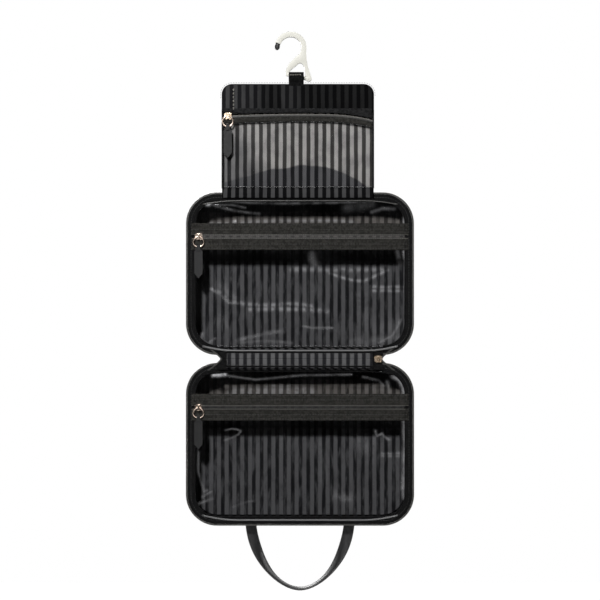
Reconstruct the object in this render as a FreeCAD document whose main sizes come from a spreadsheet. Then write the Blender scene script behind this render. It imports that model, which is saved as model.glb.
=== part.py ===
import FreeCAD, Part
import Sketcher
import math
import os
import re

from FreeCAD import Placement, Rotation, Vector

# Hanging toiletry bag, opened flat: a plastic hook, a flat zip pouch and two lined case halves
# with clear zip windows, joined by a fabric spine, with a strap handle under the lower half.
# Frame: the origin is the centre of the hook's crook. +X is to the right, +Y to the back of the
# bag and +Z up. Millimetres and degrees.

SIZES = {
    # hook
    "crook_inner": 12.5,  # for a rail of 25 mm
    "hook_width": 6.1,
    "hook_thick": 4.5,
    "bar_radius": 2.3,
    "tip_length": 7.5,
    "tip_wall": 0.7,
    # webbing loop that turns on the hook's bar
    "loop_drop": 33.9,  # from the crook's centre down to the loop's
    "loop_inner": 4.9,
    "loop_middle": 7.5,
    "loop_width": 15.8,
    "webbing": 1.3,
    "loop_seat": 0.3,
    "tab_length": 22.0,  # the webbing's ends, sewn inside the pouch
    # pouch, layer by layer from its back
    "pouch_middle": 8.5,
    "pouch_width": 178.0,
    "pouch_height": 123.6,
    "pouch_corner": 12.0,
    "edge_radius": 1.5,
    "pouch_skin": 0.8,
    "pouch_lining": 0.5,
    "pocket_room": 4.3,
    "pouch_binding": 2.5,
    "header_height": 34.6,
    "hem_height": 2.8,
    "hem_clear": 1.5,  # how far the hem stays above the chain, for the slider
    "pouch_tape": 7.0,
    "flap_height": 10.9,
    "flap_thick": 1.0,
    "flap_back": 1.1,  # Y of the flap's back face, just in front of the main zip
    "flap_overlap": 0.5,
    # case halves
    "bag_middle": 11.0,
    "half_width": 256.0,
    "half_height": 179.5,
    "half_depth": 35.4,
    "half_corner": 37.0,
    "front": 2.6,  # Y of the gusset's front edge
    "wall": 2.4,
    "lining": 0.5,
    "board": 2.0,
    "skin": 0.9,
    "piping": 1.6,
    "welt": 1.6,
    "welt_inset": 3.3,
    "welt_length": 172.0,
    "vinyl": 0.5,
    # fabric spine
    "spine_width": 20.0,
    "spine_length": 171.0,
    "spine_cover": 173.0,
    "spine_ear": 10.0,  # beyond the cover's left end, where the main zip's tapes meet
    "spine_strip": 1.0,
    "spine_skin": 0.9,
    "fold_gap": 0.4,
    # zips
    "band_drop": 46.5,  # from a half's top edge to its pocket zip
    "tape_thick": 0.6,
    "tape_width": 12.6,
    "chain_half": 2.4,
    "chain_gap": 1.2,
    "chain_thick": 1.8,
    "vinyl_edge": 4.6,  # from the chain's middle to the vinyl's edge
    "main_tape": 8.0,
    "main_inset": 4.6,
    "main_chain": 1.8,
    "main_opening": 194.0,
    # sliders, rings and pulls
    "slider_gap": 0.3,
    "slider_plate": 0.9,
    "slider_length": 8.6,
    "slider_flange": 0.8,
    "arch_room": 2.1,
    "arch_span": 5.0,
    "arch_bar": 0.8,
    "ring_radius": 6.0,
    "ring_wire": 1.7,
    "pull_length": 37.0,
    "pull_width": 9.6,
    "pull_thick": 1.8,
    "neck_width": 4.2,
    "end_gap": 0.6,  # between a parked slider and the pocket's edge
    # handle
    "handle_span": 114.8,
    "handle_drop": 79.0,
    "strap_width": 14.0,
    "strap_thick": 2.6,
    "tab_height": 1.4,
    "handle_seat": 0.3,
}

doc = FreeCAD.newDocument("hanging_toiletry_bag")
sheet = doc.addObject("Spreadsheet::Sheet", "sizes")
for row, (alias, number) in enumerate(SIZES.items(), start=1):
    sheet.set(f"A{row}", alias)
    sheet.set(f"B{row}", str(number))
    sheet.setAlias(f"B{row}", alias)
doc.recompute()

SIZE = {alias: float(sheet.get(alias)) for alias in SIZES}
nodes = []

# Places that several sub-parts share, as formulas on the sheet's names.
POUCH_TOP = "(-loop_drop - loop_inner - webbing - loop_seat)"
POUCH_END = f"({POUCH_TOP} - pouch_height)"
CASE_TOP = f"({POUCH_END} - flap_height + flap_overlap)"
MIDDLES = {
    "upper": f"({CASE_TOP} - half_height / 2)",
    "lower": f"({CASE_TOP} - half_height * 1.5 - spine_width)",
}
SPINE_TOP = f"({CASE_TOP} - half_height)"
POCKET_BACK = "(edge_radius - pouch_skin - pouch_lining)"
POUCH_PLANE = f"({POCKET_BACK} - pocket_room - tape_thick / 2)"
BAND_PLANE = "(front - tape_thick * 1.5 - 0.1)"
MAIN_PLANE = "(front - tape_thick / 2)"
POUCH_ZIP = f"({POUCH_TOP} - header_height - hem_height - chain_half - chain_gap / 2)"
TAPE_START = "(chain_gap / 2 + chain_half)"


def bound(formula):
    """A formula on the sheet's names, as a FreeCAD expression."""
    return re.sub(r"[a-z_]{3,}", lambda word: "sizes." + word.group(), str(formula))


def solve(formula):
    """The number that such a formula gives now, by FreeCAD's own expression engine."""
    return float(sheet.evalExpression(bound(formula).replace("sizes.", "")))


def bind(thing, **formulas):
    for name, formula in formulas.items():
        thing.setExpression(name, bound(formula))


def place(thing, x="0", y="0", z="0"):
    for axis, formula in zip("xyz", (x, y, z)):
        thing.setExpression("Placement.Base." + axis, bound(formula))


def keep(thing, label):
    """Name a finished sub-part and list it for export."""
    thing.Label = label
    nodes.append(thing)
    return thing


def box(name, width, depth, height, x, y, z):
    """A box from its sizes, the middle of its width, its front and its bottom."""
    thing = doc.addObject("Part::Box", name)
    bind(thing, Length=width, Width=depth, Height=height)
    place(thing, f"{x} - ({width}) / 2", y, z)
    return thing


def boolean(kind, name, base, tool):
    thing = doc.addObject("Part::" + kind, name)
    thing.Base, thing.Tool = base, tool
    return thing


def group(name, members):
    thing = doc.addObject("Part::Compound", name)
    thing.Links = members
    return thing


def feature(name, shape, x="0", y="0", z="0"):
    """A sub-part whose shape is worked out here from the sheet's numbers."""
    thing = doc.addObject("Part::Feature", name)
    thing.Shape = shape
    thing.Placement = Placement(Vector(solve(x), solve(y), solve(z)), Rotation())
    return thing


# Rounded rectangles, for the case halves

def rounded_outline(sketch, width, height, radius, label):
    """Add one rounded rectangle, centred on the origin, with its sizes bound to the sheet."""
    w, h, r = solve(width) / 2, solve(height) / 2, solve(radius)
    first = sketch.GeometryCount
    corners = [(w - r, r - h, -90), (w - r, h - r, 0), (r - w, h - r, 90), (r - w, r - h, 180)]
    ends = [
        ((r - w, -h), (w - r, -h)), ((w, r - h), (w, h - r)),
        ((w - r, h), (r - w, h)), ((-w, h - r), (-w, r - h)),
    ]
    for start, end in ends:
        sketch.addGeometry(Part.LineSegment(Vector(*start, 0), Vector(*end, 0)))
    for x, y, turn in corners:
        circle = Part.Circle(Vector(x, y, 0), Vector(0, 0, 1), r)
        begin = math.radians(turn)
        sketch.addGeometry(Part.ArcOfCircle(circle, begin, begin + math.pi / 2))
    for side in range(4):
        line, arc, following = first + side, first + 4 + side, first + (side + 1) % 4
        sketch.addConstraint(Sketcher.Constraint("Tangent", line, 2, arc, 1))
        sketch.addConstraint(Sketcher.Constraint("Tangent", arc, 2, following, 1))
    for side, way in enumerate(("Horizontal", "Vertical", "Horizontal", "Vertical")):
        sketch.addConstraint(Sketcher.Constraint(way, first + side))
    for side in range(1, 4):
        sketch.addConstraint(Sketcher.Constraint("Equal", first + 4, first + 4 + side))
    sketch.addConstraint(Sketcher.Constraint("Symmetric", first + 4, 3, first + 6, 3, -1, 1))
    driven = {
        "width": (Sketcher.Constraint("DistanceX", first + 3, 1, first + 1, 1, 2 * w), width),
        "height": (Sketcher.Constraint("DistanceY", first, 1, first + 2, 1, 2 * h), height),
        "radius": (Sketcher.Constraint("Radius", first + 4, r), radius),
    }
    for name, (constraint, formula) in driven.items():
        index = sketch.addConstraint(constraint)
        sketch.renameConstraint(index, label + name)
        sketch.setExpression("Constraints." + label + name, bound(formula))


def rounded_pad(name, outlines, depth, y, z):
    """A plate, or a ring if there are two outlines, standing upright and facing the front."""
    body = doc.addObject("PartDesign::Body", name)
    sketch = body.newObject("Sketcher::SketchObject", name + "_outline")
    plane = [p for p in body.Origin.OriginFeatures if p.Role == "XZ_Plane"][0]
    sketch.AttachmentSupport, sketch.MapMode = [(plane, "")], "FlatFace"
    for index, (width, height, radius) in enumerate(outlines):
        rounded_outline(sketch, width, height, radius, "outer_" if index == 0 else "inner_")
    pad = body.newObject("PartDesign::Pad", name + "_pad")
    pad.Profile = sketch
    pad.Reversed = True
    bind(pad, Length=depth)
    place(body, "bag_middle", y, z)
    return body


def outline(inset):
    """Width, height and corner radius of a half's outline, moved in by a distance."""
    return (
        f"half_width - 2 * ({inset})", f"half_height - 2 * ({inset})", f"half_corner - ({inset})",
    )


def spine_side_cut(name, ring, half, width):
    """Open a ring across the middle of the side that meets the spine."""
    edge = SPINE_TOP if half == "upper" else f"({SPINE_TOP} - spine_width)"
    cutter = box(name + "_opening", width, "20", "24", "bag_middle", "front - 10", f"{edge} - 12")
    return boolean("Cut", name, ring, cutter)


# Hook

def hook_outline():
    """The flat moulding seen from the front: crook, two legs and the feet that hold the bar."""
    inner = SIZE["crook_inner"]
    outer = inner + SIZE["hook_width"]

    def on(radius, turn):
        return Vector(radius * math.cos(math.radians(turn)), 0, radius * math.sin(math.radians(turn)))

    def at(x, z):
        return Vector(x, 0, z)

    shoulder, throat = on(outer, -10), on(inner, -50)
    edges = [
        Part.Arc(on(outer, 172), on(outer, 80), shoulder),
        Part.Arc(shoulder, at(18.9, -14.5), at(20.0, -21.5)),
        Part.LineSegment(at(20.0, -21.5), at(24.2, -34.6)),
        Part.Arc(at(24.2, -34.6), at(24.2, -38.0), at(21.6, -39.4)),
        Part.Arc(at(21.6, -39.4), at(18.6, -38.6), at(17.6, -36.0)),
        Part.Arc(at(17.6, -36.0), at(16.4, -26.0), at(14.9, -20.8)),
        Part.Arc(at(14.9, -20.8), at(11.4, -18.2), at(7.4, -20.4)),
        Part.LineSegment(at(7.4, -20.4), at(0.2, -26.2)),
        Part.Arc(at(0.2, -26.2), at(-1.1, -28.0), at(-1.2, -31.0)),
        Part.Arc(at(-1.2, -31.0), at(-3.4, -33.3), at(-5.6, -31.0)),
        Part.Arc(at(-5.6, -31.0), at(-4.9, -25.0), at(-2.0, -19.4)),
        Part.Arc(at(-2.0, -19.4), at(3.4, -13.6), throat),
        Part.Arc(throat, on(inner, 80), on(inner, 172)),
        Part.LineSegment(on(inner, 172), on(outer, 172)),
    ]
    return Part.Wire([edge.toShape() for edge in edges])


def make_hook():
    thick, radius = SIZE["hook_thick"], SIZE["bar_radius"]
    moulding = Part.Face(hook_outline()).extrude(Vector(0, thick, 0))
    moulding.translate(Vector(0, -thick / 2, 0))
    left, right = Vector(-3.4, 0, -31.0), Vector(21.4, 0, -36.9)
    bar = Part.makeCylinder(radius, left.distanceToPoint(right), left, right - left)
    hook = moulding.fuse(bar).removeSplitter()
    keep(feature("hook", hook), "hook")


def make_hook_tip():
    """A soft sleeve pushed over the end of the crook."""
    inner, width, thick = SIZE["crook_inner"], SIZE["hook_width"], SIZE["hook_thick"]
    wall, start = SIZE["tip_wall"], 172
    turn = math.degrees(SIZE["tip_length"] / (inner + width / 2))
    reach = (inner + wall, inner + width)
    depth = thick / 2 + wall
    section = Part.makePolygon([
        Vector(reach[0], -depth, 0), Vector(reach[1], -depth, 0),
        Vector(reach[1], depth, 0), Vector(reach[0], depth, 0), Vector(reach[0], -depth, 0),
    ])
    sleeve = Part.Face(section).revolve(Vector(), Vector(0, -1, 0), turn)
    sleeve.rotate(Vector(), Vector(0, -1, 0), start)
    keep(feature("hook_tip", sleeve.makeFillet(wall, sleeve.Edges)), "hook_tip")


# Webbing

def make_hook_loop():
    """The webbing wound round the hook's bar, and its ends inside the pouch's top seam."""
    tube = []
    for name, radius in (("loop_outside", "loop_inner + webbing"), ("loop_inside", "loop_inner")):
        roll = doc.addObject("Part::Cylinder", name)
        bind(roll, Radius=radius, Height="loop_width")
        roll.Placement.Rotation = Rotation(Vector(0, 1, 0), 90)
        place(roll, "loop_middle - loop_width / 2", "0", "-loop_drop")
        tube.append(roll)
    keep(boolean("Cut", "hook_loop", *tube), "hook_loop")
    tab = box(
        "loop_tab", "loop_width", "webbing", "tab_length", "loop_middle",
        "edge_radius - pouch_skin - webbing", f"{POUCH_TOP} - edge_radius * 2 - tab_length",
    )
    keep(tab, "loop_tab")


# Pouch

def arched_outline(width, height, radius, bottom=0):
    """A wire in the XZ plane: a rectangle with round top corners, from its bottom up."""
    side, top = width / 2, bottom + height
    slant = radius * (1 - math.sqrt(0.5))
    points = [
        Vector(-side, 0, bottom), Vector(-side, 0, top - radius),
        Vector(-side + slant, 0, top - slant), Vector(-side + radius, 0, top),
        Vector(side - radius, 0, top), Vector(side - slant, 0, top - slant),
        Vector(side, 0, top - radius), Vector(side, 0, bottom),
    ]
    return [
        Part.LineSegment(points[0], points[1]).toShape(),
        Part.Arc(*points[1:4]).toShape(),
        Part.LineSegment(points[3], points[4]).toShape(),
        Part.Arc(*points[4:7]).toShape(),
        Part.LineSegment(points[6], points[7]).toShape(),
    ]


def arched_plate(width, height, radius, depth):
    edges = arched_outline(width, height, radius)
    edges.append(Part.LineSegment(Vector(width / 2, 0, 0), Vector(-width / 2, 0, 0)).toShape())
    return Part.Face(Part.Wire(edges)).extrude(Vector(0, depth, 0))


def make_pouch_shell():
    """Back panel, slanting header panel and the rolled edge round them."""
    edge, skin = SIZE["edge_radius"], SIZE["pouch_skin"]
    inset = 2 * edge
    width = SIZE["pouch_width"] - 2 * inset
    radius = SIZE["pouch_corner"] - inset
    height, header = SIZE["pouch_height"] - inset, SIZE["header_height"] - inset
    end = POUCH_END
    back = arched_plate(width, height, radius, skin)
    keep(feature("pouch_back", back, "pouch_middle", "edge_radius - pouch_skin", end), "pouch_back")

    front = solve(f"{POUCH_PLANE} - tape_thick / 2")
    lean = Part.makePolygon([
        Vector(-width / 2, front, 0), Vector(-width / 2, front + skin, 0),
        Vector(-width / 2, -edge + skin, header), Vector(-width / 2, -edge, header),
        Vector(-width / 2, front, 0),
    ])
    panel = Part.Face(lean).extrude(Vector(width, 0, 0))
    outline = arched_plate(width, header, radius, 4 * edge - front)
    outline.translate(Vector(0, front - edge, 0))
    header_end = f"{POUCH_TOP} - header_height"
    keep(feature("header_panel", panel.common(outline), "pouch_middle", "0", header_end), "header_panel")

    path = Part.Wire(arched_outline(
        SIZE["pouch_width"] - inset, SIZE["header_height"] - edge, SIZE["pouch_corner"] - edge,
    ))
    start = Vector(edge - SIZE["pouch_width"] / 2, 0, 0)
    circle = Part.Wire(Part.makeCircle(edge, start, Vector(0, 0, 1)))
    roll = path.makePipeShell([circle], True, False)
    keep(feature("pouch_edge", roll, "pouch_middle", "0", header_end), "pouch_edge")


def make_pouch_pocket():
    """What lies between the header and the flap: bindings, lining, zip tapes and clear window."""
    inside = "pouch_width - 2 * pouch_binding"
    header_end = f"({POUCH_TOP} - header_height)"
    front = f"({POUCH_PLANE} - tape_thick / 2)"
    deep = f"{POCKET_BACK} + pouch_lining + pouch_skin - {front}"
    tall = "pouch_height - header_height"
    sides = []
    for name, way in (("left", "-"), ("right", "+")):
        middle = f"pouch_middle {way} (pouch_width / 2 - pouch_binding / 2)"
        sides.append(box("side_" + name, "pouch_binding", deep, tall, middle, front, POUCH_END))
    sides.append(box(
        "side_bottom", inside, f"edge_radius - pouch_skin - {front}", "pouch_binding * 0.8",
        "pouch_middle", front, POUCH_END,
    ))
    keep(group("pouch_binding", sides), "pouch_binding")

    above_seam = f"({POUCH_END} + pouch_binding * 0.8)"
    keep(box(
        "pouch_lining", inside, "pouch_lining", f"{header_end} - {above_seam}",
        "pouch_middle", POCKET_BACK, above_seam,
    ), "pouch_lining")
    hem = f"({header_end} - hem_height)"
    keep(box(
        "pouch_hem", inside, "tape_thick", "hem_height - hem_clear", "pouch_middle",
        f"{front} - tape_thick", f"{hem} + hem_clear",
    ), "pouch_hem")
    keep(box(
        "pouch_zip_tape_top", inside, "tape_thick", "hem_height", "pouch_middle", front, hem,
    ), "pouch_zip_tape_top")
    tape_end = f"({POUCH_ZIP} - {TAPE_START} - pouch_tape)"
    keep(box(
        "pouch_zip_tape_bottom", inside, "tape_thick", "pouch_tape", "pouch_middle", front, tape_end,
    ), "pouch_zip_tape_bottom")
    keep(box(
        "pouch_window", inside, "vinyl", f"{tape_end} - {above_seam}", "pouch_middle", front,
        above_seam,
    ), "pouch_window")
    keep(box(
        "hanging_flap", "pouch_width", "flap_thick", "flap_height", "pouch_middle",
        "flap_back - flap_thick", f"{POUCH_END} - flap_height",
    ), "hanging_flap")


# Zips

def make_chain(label, length, x, y, z):
    """The two rows of a closed zip, side by side, with the slider's wedge between them."""
    rows = []
    for name, start in (("top", "chain_gap / 2"), ("bottom", "-chain_gap / 2 - chain_half")):
        rows.append(box(
            f"{label}_{name}", length, "chain_thick", "chain_half", x,
            f"{y} - chain_thick / 2", f"{z} + {start}",
        ))
    keep(group(label, rows), label)


def slider_shape(way):
    """A slider on a zip that runs along X; the arch for its ring stands towards way * -Y."""
    half, length = SIZE["chain_thick"] / 2, SIZE["slider_length"]
    gap, plate, flange = SIZE["slider_gap"], SIZE["slider_plate"], SIZE["slider_flange"]
    wide = SIZE["chain_gap"] / 2 + SIZE["chain_half"] + gap + flange
    tape = SIZE["tape_thick"] / 2 + gap
    inner = half + gap
    nose, heel = -length / 2, length / 2

    def slab(x0, x1, y0, y1, z0, z1):
        return Part.makeBox(x1 - x0, y1 - y0, z1 - z0, Vector(x0, y0, z0))

    outline = Part.makePolygon([
        Vector(nose, 0, -wide * 0.55), Vector(nose, 0, wide * 0.55), Vector(nose * 0.45, 0, wide),
        Vector(heel * 0.6, 0, wide), Vector(heel, 0, wide * 0.72), Vector(heel, 0, -wide * 0.72),
        Vector(heel * 0.6, 0, -wide), Vector(nose * 0.45, 0, -wide), Vector(nose, 0, -wide * 0.55),
    ])
    block = Part.Face(outline).extrude(Vector(0, 2 * (inner + plate), 0))
    block.translate(Vector(0, -inner - plate, 0))
    block = block.makeFillet(0.5, [e for e in block.Edges if abs(e.CenterOfMass.y) < 0.01])
    channel = slab(-length, length, -inner, inner, flange - wide, wide - flange)
    slot = slab(-length, length, -tape, tape, -2 * wide, 2 * wide)
    body = block.cut(channel.fuse(slot))
    wedge = (SIZE["chain_gap"] - 0.5) / 2
    post = slab(nose + 0.9, nose + 3.2, -inner, inner, -wedge, wedge)
    span, room, bar = SIZE["arch_span"] / 2, SIZE["arch_room"], SIZE["arch_bar"]
    top = -inner - plate
    arch = slab(-1.2, 1.2, top - room - bar, top, -span - bar, span + bar)
    arch = arch.makeFillet(bar * 0.7, [
        e for e in arch.Edges if e.CenterOfMass.y < top - room and abs(e.CenterOfMass.x) < 0.01
    ])
    arch = arch.cut(slab(-2, 2, top - room, top, -span, span))
    slider = body.fuse([post, arch]).removeSplitter()
    if way < 0:
        slider.rotate(Vector(), Vector(1, 0, 0), 180)
    return slider


def pull_shape():
    """A leather pull that is folded round the ring's lowest wire; its origin is that wire."""
    wire, leather = SIZE["ring_wire"] / 2, SIZE["pull_thick"] / 2
    neck, wide, length = SIZE["neck_width"] / 2, SIZE["pull_width"] / 2, SIZE["pull_length"]
    room, rise = wire + 0.5, wire + 0.9
    shell = room + leather
    fold = Part.makeBox(
        2 * neck, 2 * shell, rise + leather + 2 * shell, Vector(-neck, -shell, -2 * shell),
    )
    fold = fold.makeFillet(shell * 0.8, [
        e for e in fold.Edges if e.CenterOfMass.z > rise and abs(e.CenterOfMass.x) < 0.01
        and abs(e.CenterOfMass.y) > leather
    ])
    hole = Part.makeBox(4 * neck, 2 * room, rise + room, Vector(-2 * neck, -room, -room))
    strap = Part.makePolygon([
        Vector(-neck, 0, -shell), Vector(-wide, 0, -shell - 3), Vector(-wide, 0, 6 - length),
        Vector(0, 0, -length), Vector(wide, 0, 6 - length), Vector(wide, 0, -shell - 3),
        Vector(neck, 0, -shell), Vector(-neck, 0, -shell),
    ])
    blade = Part.Face(strap).extrude(Vector(0, 2 * leather, 0))
    blade.translate(Vector(0, -leather, 0))
    return fold.fuse(blade).cut(hole).removeSplitter()


def make_slider_set(label, x, y, z, way=1):
    """Slider, ring and pull, with the ring and pull hanging, or for way -1 lying to the back."""
    keep(feature(label + "_slider", slider_shape(way), x, y, z), label + "_slider")
    rise = "chain_thick / 2 + slider_gap + slider_plate + 0.2 + ring_wire / 2"
    wire_y = f"{y} {'-' if way > 0 else '+'} ({rise})"
    ring = doc.addObject("Part::Torus", label + "_ring")
    bind(ring, Radius1="ring_radius", Radius2="ring_wire / 2")
    pull = feature(label + "_pull", pull_shape())
    if way > 0:
        ring.Placement.Rotation = Rotation(Vector(1, 0, 0), 90)
        place(ring, x, wire_y, f"{z} - ring_radius")
        place(pull, x, wire_y, f"{z} - 2 * ring_radius")
    else:
        pull.Placement.Rotation = Rotation(Vector(1, 0, 0), 90)
        place(ring, x, f"{wire_y} + ring_radius", z)
        place(pull, x, f"{wire_y} + 2 * ring_radius", z)
    keep(ring, label + "_ring")
    keep(pull, label + "_pull")


# Case halves

def make_half(half):
    """One half: an open tray of lined gusset and stiffened back, and the front with its zip."""
    middle = MIDDLES[half]
    width, height, _ = outline("0")
    back = "(front + half_depth)"
    inner, lined = outline("wall"), outline("wall + lining")

    def part(label, outlines, depth, y):
        keep(rounded_pad(f"{half}_{label}", outlines, depth, y, middle), f"{half}_{label}")

    part("gusset", [outline("0"), inner], "half_depth", "front")
    part("gusset_lining", [inner, lined], "half_depth - board - lining", "front")
    part("back_panel", [outline("0")], "skin", back)
    part("stiffener", [inner], "board", f"{back} - board")
    part("back_lining", [inner], "lining", f"{back} - board - lining")
    part("back_piping", [outline("-piping"), outline("0")], "piping", f"{back} + skin - piping")

    tape = [outline("main_inset - main_tape"), outline("main_inset")]
    chain = [outline("main_inset - main_tape - main_chain"), outline("main_inset - main_tape")]
    rings = (
        ("main_zip_tape", tape, "tape_thick", "front - tape_thick"),
        ("main_zip_chain", chain, "main_chain", f"{MAIN_PLANE} - main_chain / 2"),
    )
    for label, outlines, depth, y in rings:
        ring = rounded_pad(f"{half}_{label}_ring", outlines, depth, y, middle)
        name = f"{half}_{label}"
        keep(spine_side_cut(name, ring, half, "main_opening"), name)

    welts = []
    for name, way in (("top", "+"), ("bottom", "-")):
        level = f"{middle} {way} (half_height / 2 - welt_inset) - welt / 2"
        welts.append(box(
            f"{half}_welt_{name}", "welt_length", "welt", "welt", "bag_middle",
            "front - tape_thick - welt", level,
        ))
    keep(group(f"{half}_welts", welts), f"{half}_welts")

    zip_z = f"({middle} + half_height / 2 - band_drop)"
    clear = "half_width - 2 * main_inset"
    band = f"{clear} - 2 * end_gap + slider_length"
    make_chain(f"{half}_zip_chain", f"{clear} - end_gap", "bag_middle", BAND_PLANE, zip_z)
    tape_front = f"{BAND_PLANE} - tape_thick / 2"
    for name, start in (("top", TAPE_START), ("bottom", f"-{TAPE_START} - tape_width")):
        label = f"{half}_zip_tape_{name}"
        keep(box(
            label, band, "tape_thick", "tape_width", "bag_middle", tape_front, f"{zip_z} + {start}",
        ), label)
    for name, start in (("top", "vinyl_edge"), ("bottom", "-vinyl_edge - half_height")):
        label = f"{half}_window_{name}"
        sheet_y = f"({BAND_PLANE} + tape_thick / 2)"
        pane = rounded_pad(label + "_pane", [outline("main_inset + 0.1")], "vinyl", sheet_y, middle)
        area = box(
            label + "_area", width, "6", "half_height", "bag_middle", f"{sheet_y} - 3",
            f"{zip_z} + {start}",
        )
        keep(boolean("Common", label, pane, area), label)
    park = f"bag_middle - ({clear}) / 2 + end_gap + slider_length / 2"
    make_slider_set(half, park, BAND_PLANE, zip_z)


# Spine and handle

def make_spine():
    """The fabric that joins the halves, and the main zip's slider parked at its right end."""
    bottom = f"({SPINE_TOP} - spine_width + fold_gap)"
    height = "spine_width - 2 * fold_gap"
    face = "(front - tape_thick - spine_strip - 0.1)"
    keep(box("spine_strip", "spine_length", "spine_strip", height, "bag_middle", face, bottom), "spine_strip")
    keep(box(
        "spine_cover", "spine_cover + spine_ear", "spine_skin", height, "bag_middle - spine_ear / 2",
        f"{face} + spine_strip", bottom,
    ), "spine_cover")
    park = "bag_middle + spine_cover / 2 + 0.3 + slider_length / 2"
    make_slider_set("main", park, MAIN_PLANE, f"({SPINE_TOP} - spine_width / 2)", way=-1)


def handle_shape():
    """A strap bent to a U that turns edge-on at its lowest point."""
    span, drop = SIZE["handle_span"] / 2, SIZE["handle_drop"]
    wide, thick = SIZE["strap_width"] / 2, SIZE["strap_thick"] / 2
    steps = 16

    def at(turn):
        fall = math.sin(turn)
        side = (1 - fall ** 1.7) ** 0.53 if fall < 1 else 0
        return Vector(math.copysign(span * side, -math.cos(turn)), 0, -drop * fall)

    sections = []
    for step in range(steps + 1):
        turn = math.pi * step / steps
        ahead = at(min(turn + 0.01, math.pi)) - at(max(turn - 0.01, 0))
        along = Vector(0, 0, ahead.z) if step in (0, steps) else ahead
        along.normalize()
        across, depth = along.cross(Vector(0, 1, 0)), Vector(0, 1, 0)
        twist = math.pi / 2 * math.sin(turn) ** 2
        face = across * math.cos(twist) + depth * math.sin(twist)
        edge = depth * math.cos(twist) - across * math.sin(twist)
        corners = [(-wide, -thick), (wide, -thick), (wide, thick), (-wide, thick), (-wide, -thick)]
        centre = at(turn)
        sections.append(Part.makePolygon([centre + face * a + edge * b for a, b in corners]))
    strap = Part.makeLoft(sections, True, False)
    ends = [
        Part.makeCylinder(thick, 2 * wide, Vector(side - wide, 0, 0), Vector(1, 0, 0))
        for side in (-span, span)
    ]
    return strap.multiFuse(ends)


def make_handle():
    floor = f"({MIDDLES['lower']} - half_height / 2)"
    level = "(front + half_depth / 2)"
    for name, way in (("left", "-"), ("right", "+")):
        label = f"handle_tab_{name}"
        keep(box(
            label, "strap_width + 6", "strap_width", "tab_height",
            f"bag_middle {way} handle_span / 2", f"{level} - strap_width / 2", f"{floor} - tab_height",
        ), label)
    hang = f"{floor} - tab_height - handle_seat - strap_thick / 2"
    keep(feature("handle_strap", handle_shape(), "bag_middle", level, hang), "handle_strap")


make_hook()
make_hook_tip()
make_hook_loop()
make_pouch_shell()
make_pouch_pocket()
make_chain(
    "pouch_zip_chain", "pouch_width - 2 * pouch_binding - end_gap / 2", "pouch_middle",
    POUCH_PLANE, POUCH_ZIP,
)
make_slider_set(
    "pouch", "pouch_middle - pouch_width / 2 + pouch_binding + end_gap + slider_length / 2",
    POUCH_PLANE, POUCH_ZIP,
)
for half_name in ("upper", "lower"):
    make_half(half_name)
make_spine()
make_handle()

doc.recompute()
for thing in doc.Objects:
    if {"Invalid", "Error"} & set(thing.State):
        raise RuntimeError(f"{thing.Label} did not compute: {thing.State}")
for node in nodes:
    if node.Shape.isNull() or not node.Shape.isValid() or not node.Shape.Solids:
        raise RuntimeError(f"{node.Label} is not a valid solid")

os.makedirs("parts", exist_ok=True)
for node in nodes:
    node.Shape.exportStep(f"parts/{node.Label}.step")
print(len(nodes), "sub-parts written")
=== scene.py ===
"""Hanging toiletry bag: soft parts, materials, light and camera over the loaded CAD frame."""

import math

import bpy
import numpy as np
from bpy.props import FloatProperty, FloatVectorProperty, PointerProperty
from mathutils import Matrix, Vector


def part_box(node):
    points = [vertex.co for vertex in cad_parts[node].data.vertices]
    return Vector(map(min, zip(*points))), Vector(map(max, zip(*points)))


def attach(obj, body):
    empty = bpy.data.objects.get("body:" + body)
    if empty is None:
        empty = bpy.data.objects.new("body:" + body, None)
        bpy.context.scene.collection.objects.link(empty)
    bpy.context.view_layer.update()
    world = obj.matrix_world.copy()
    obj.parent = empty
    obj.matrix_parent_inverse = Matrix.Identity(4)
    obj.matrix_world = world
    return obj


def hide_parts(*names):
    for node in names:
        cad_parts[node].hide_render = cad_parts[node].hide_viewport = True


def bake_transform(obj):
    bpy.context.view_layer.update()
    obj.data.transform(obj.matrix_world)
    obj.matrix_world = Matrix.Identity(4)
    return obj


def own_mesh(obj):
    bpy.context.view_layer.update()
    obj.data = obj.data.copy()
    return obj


bl_info = {
    "name": "Hanging toiletry bag",
    "version": (1, 0, 0),
    "blender": (4, 5, 0),
    "location": "View3D > Sidebar > Toiletry Bag",
    "description": "Builds the fabric, vinyl, zips and finishes of a hanging toiletry bag",
    "category": "Object",
}

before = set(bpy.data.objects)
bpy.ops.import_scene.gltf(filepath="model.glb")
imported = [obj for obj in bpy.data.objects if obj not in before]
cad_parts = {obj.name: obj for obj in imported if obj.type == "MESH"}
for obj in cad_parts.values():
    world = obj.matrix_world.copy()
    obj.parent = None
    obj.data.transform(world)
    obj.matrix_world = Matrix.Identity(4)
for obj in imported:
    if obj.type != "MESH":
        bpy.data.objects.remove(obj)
MM = 0.001
HALVES = ("upper", "lower")


# Measures of the CAD frame, in millimetres

def span(node, axis):
    """Lowest and highest value of a CAD node along X, Y or Z."""
    low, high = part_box(node)
    index = "xyz".index(axis)
    return low[index] / MM, high[index] / MM


BAG_MIDDLE = sum(span("upper_gusset", "x")) / 2
HALF_WIDTH = span("upper_gusset", "x")[1] - span("upper_gusset", "x")[0]
HALF_HEIGHT = span("upper_gusset", "z")[1] - span("upper_gusset", "z")[0]
HALF_CORNER = 31.0         # radius of a half's corners, a little tighter than the solids'
FRONT = span("upper_gusset", "y")[0]
BACK = span("upper_back_panel", "y")[1]

UNDER_WALL = 15.5          # how far below a half's top the painted shadow of its wall reaches on the lining
BEHIND_BAND = 47.0         # a level below the top that the zip's bands hide, where the linings' painted light ends and the bands' painted shadow starts
UNDER_BAND = 74.0          # how far below the top the painted shadow of the bands reaches on the lining

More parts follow.
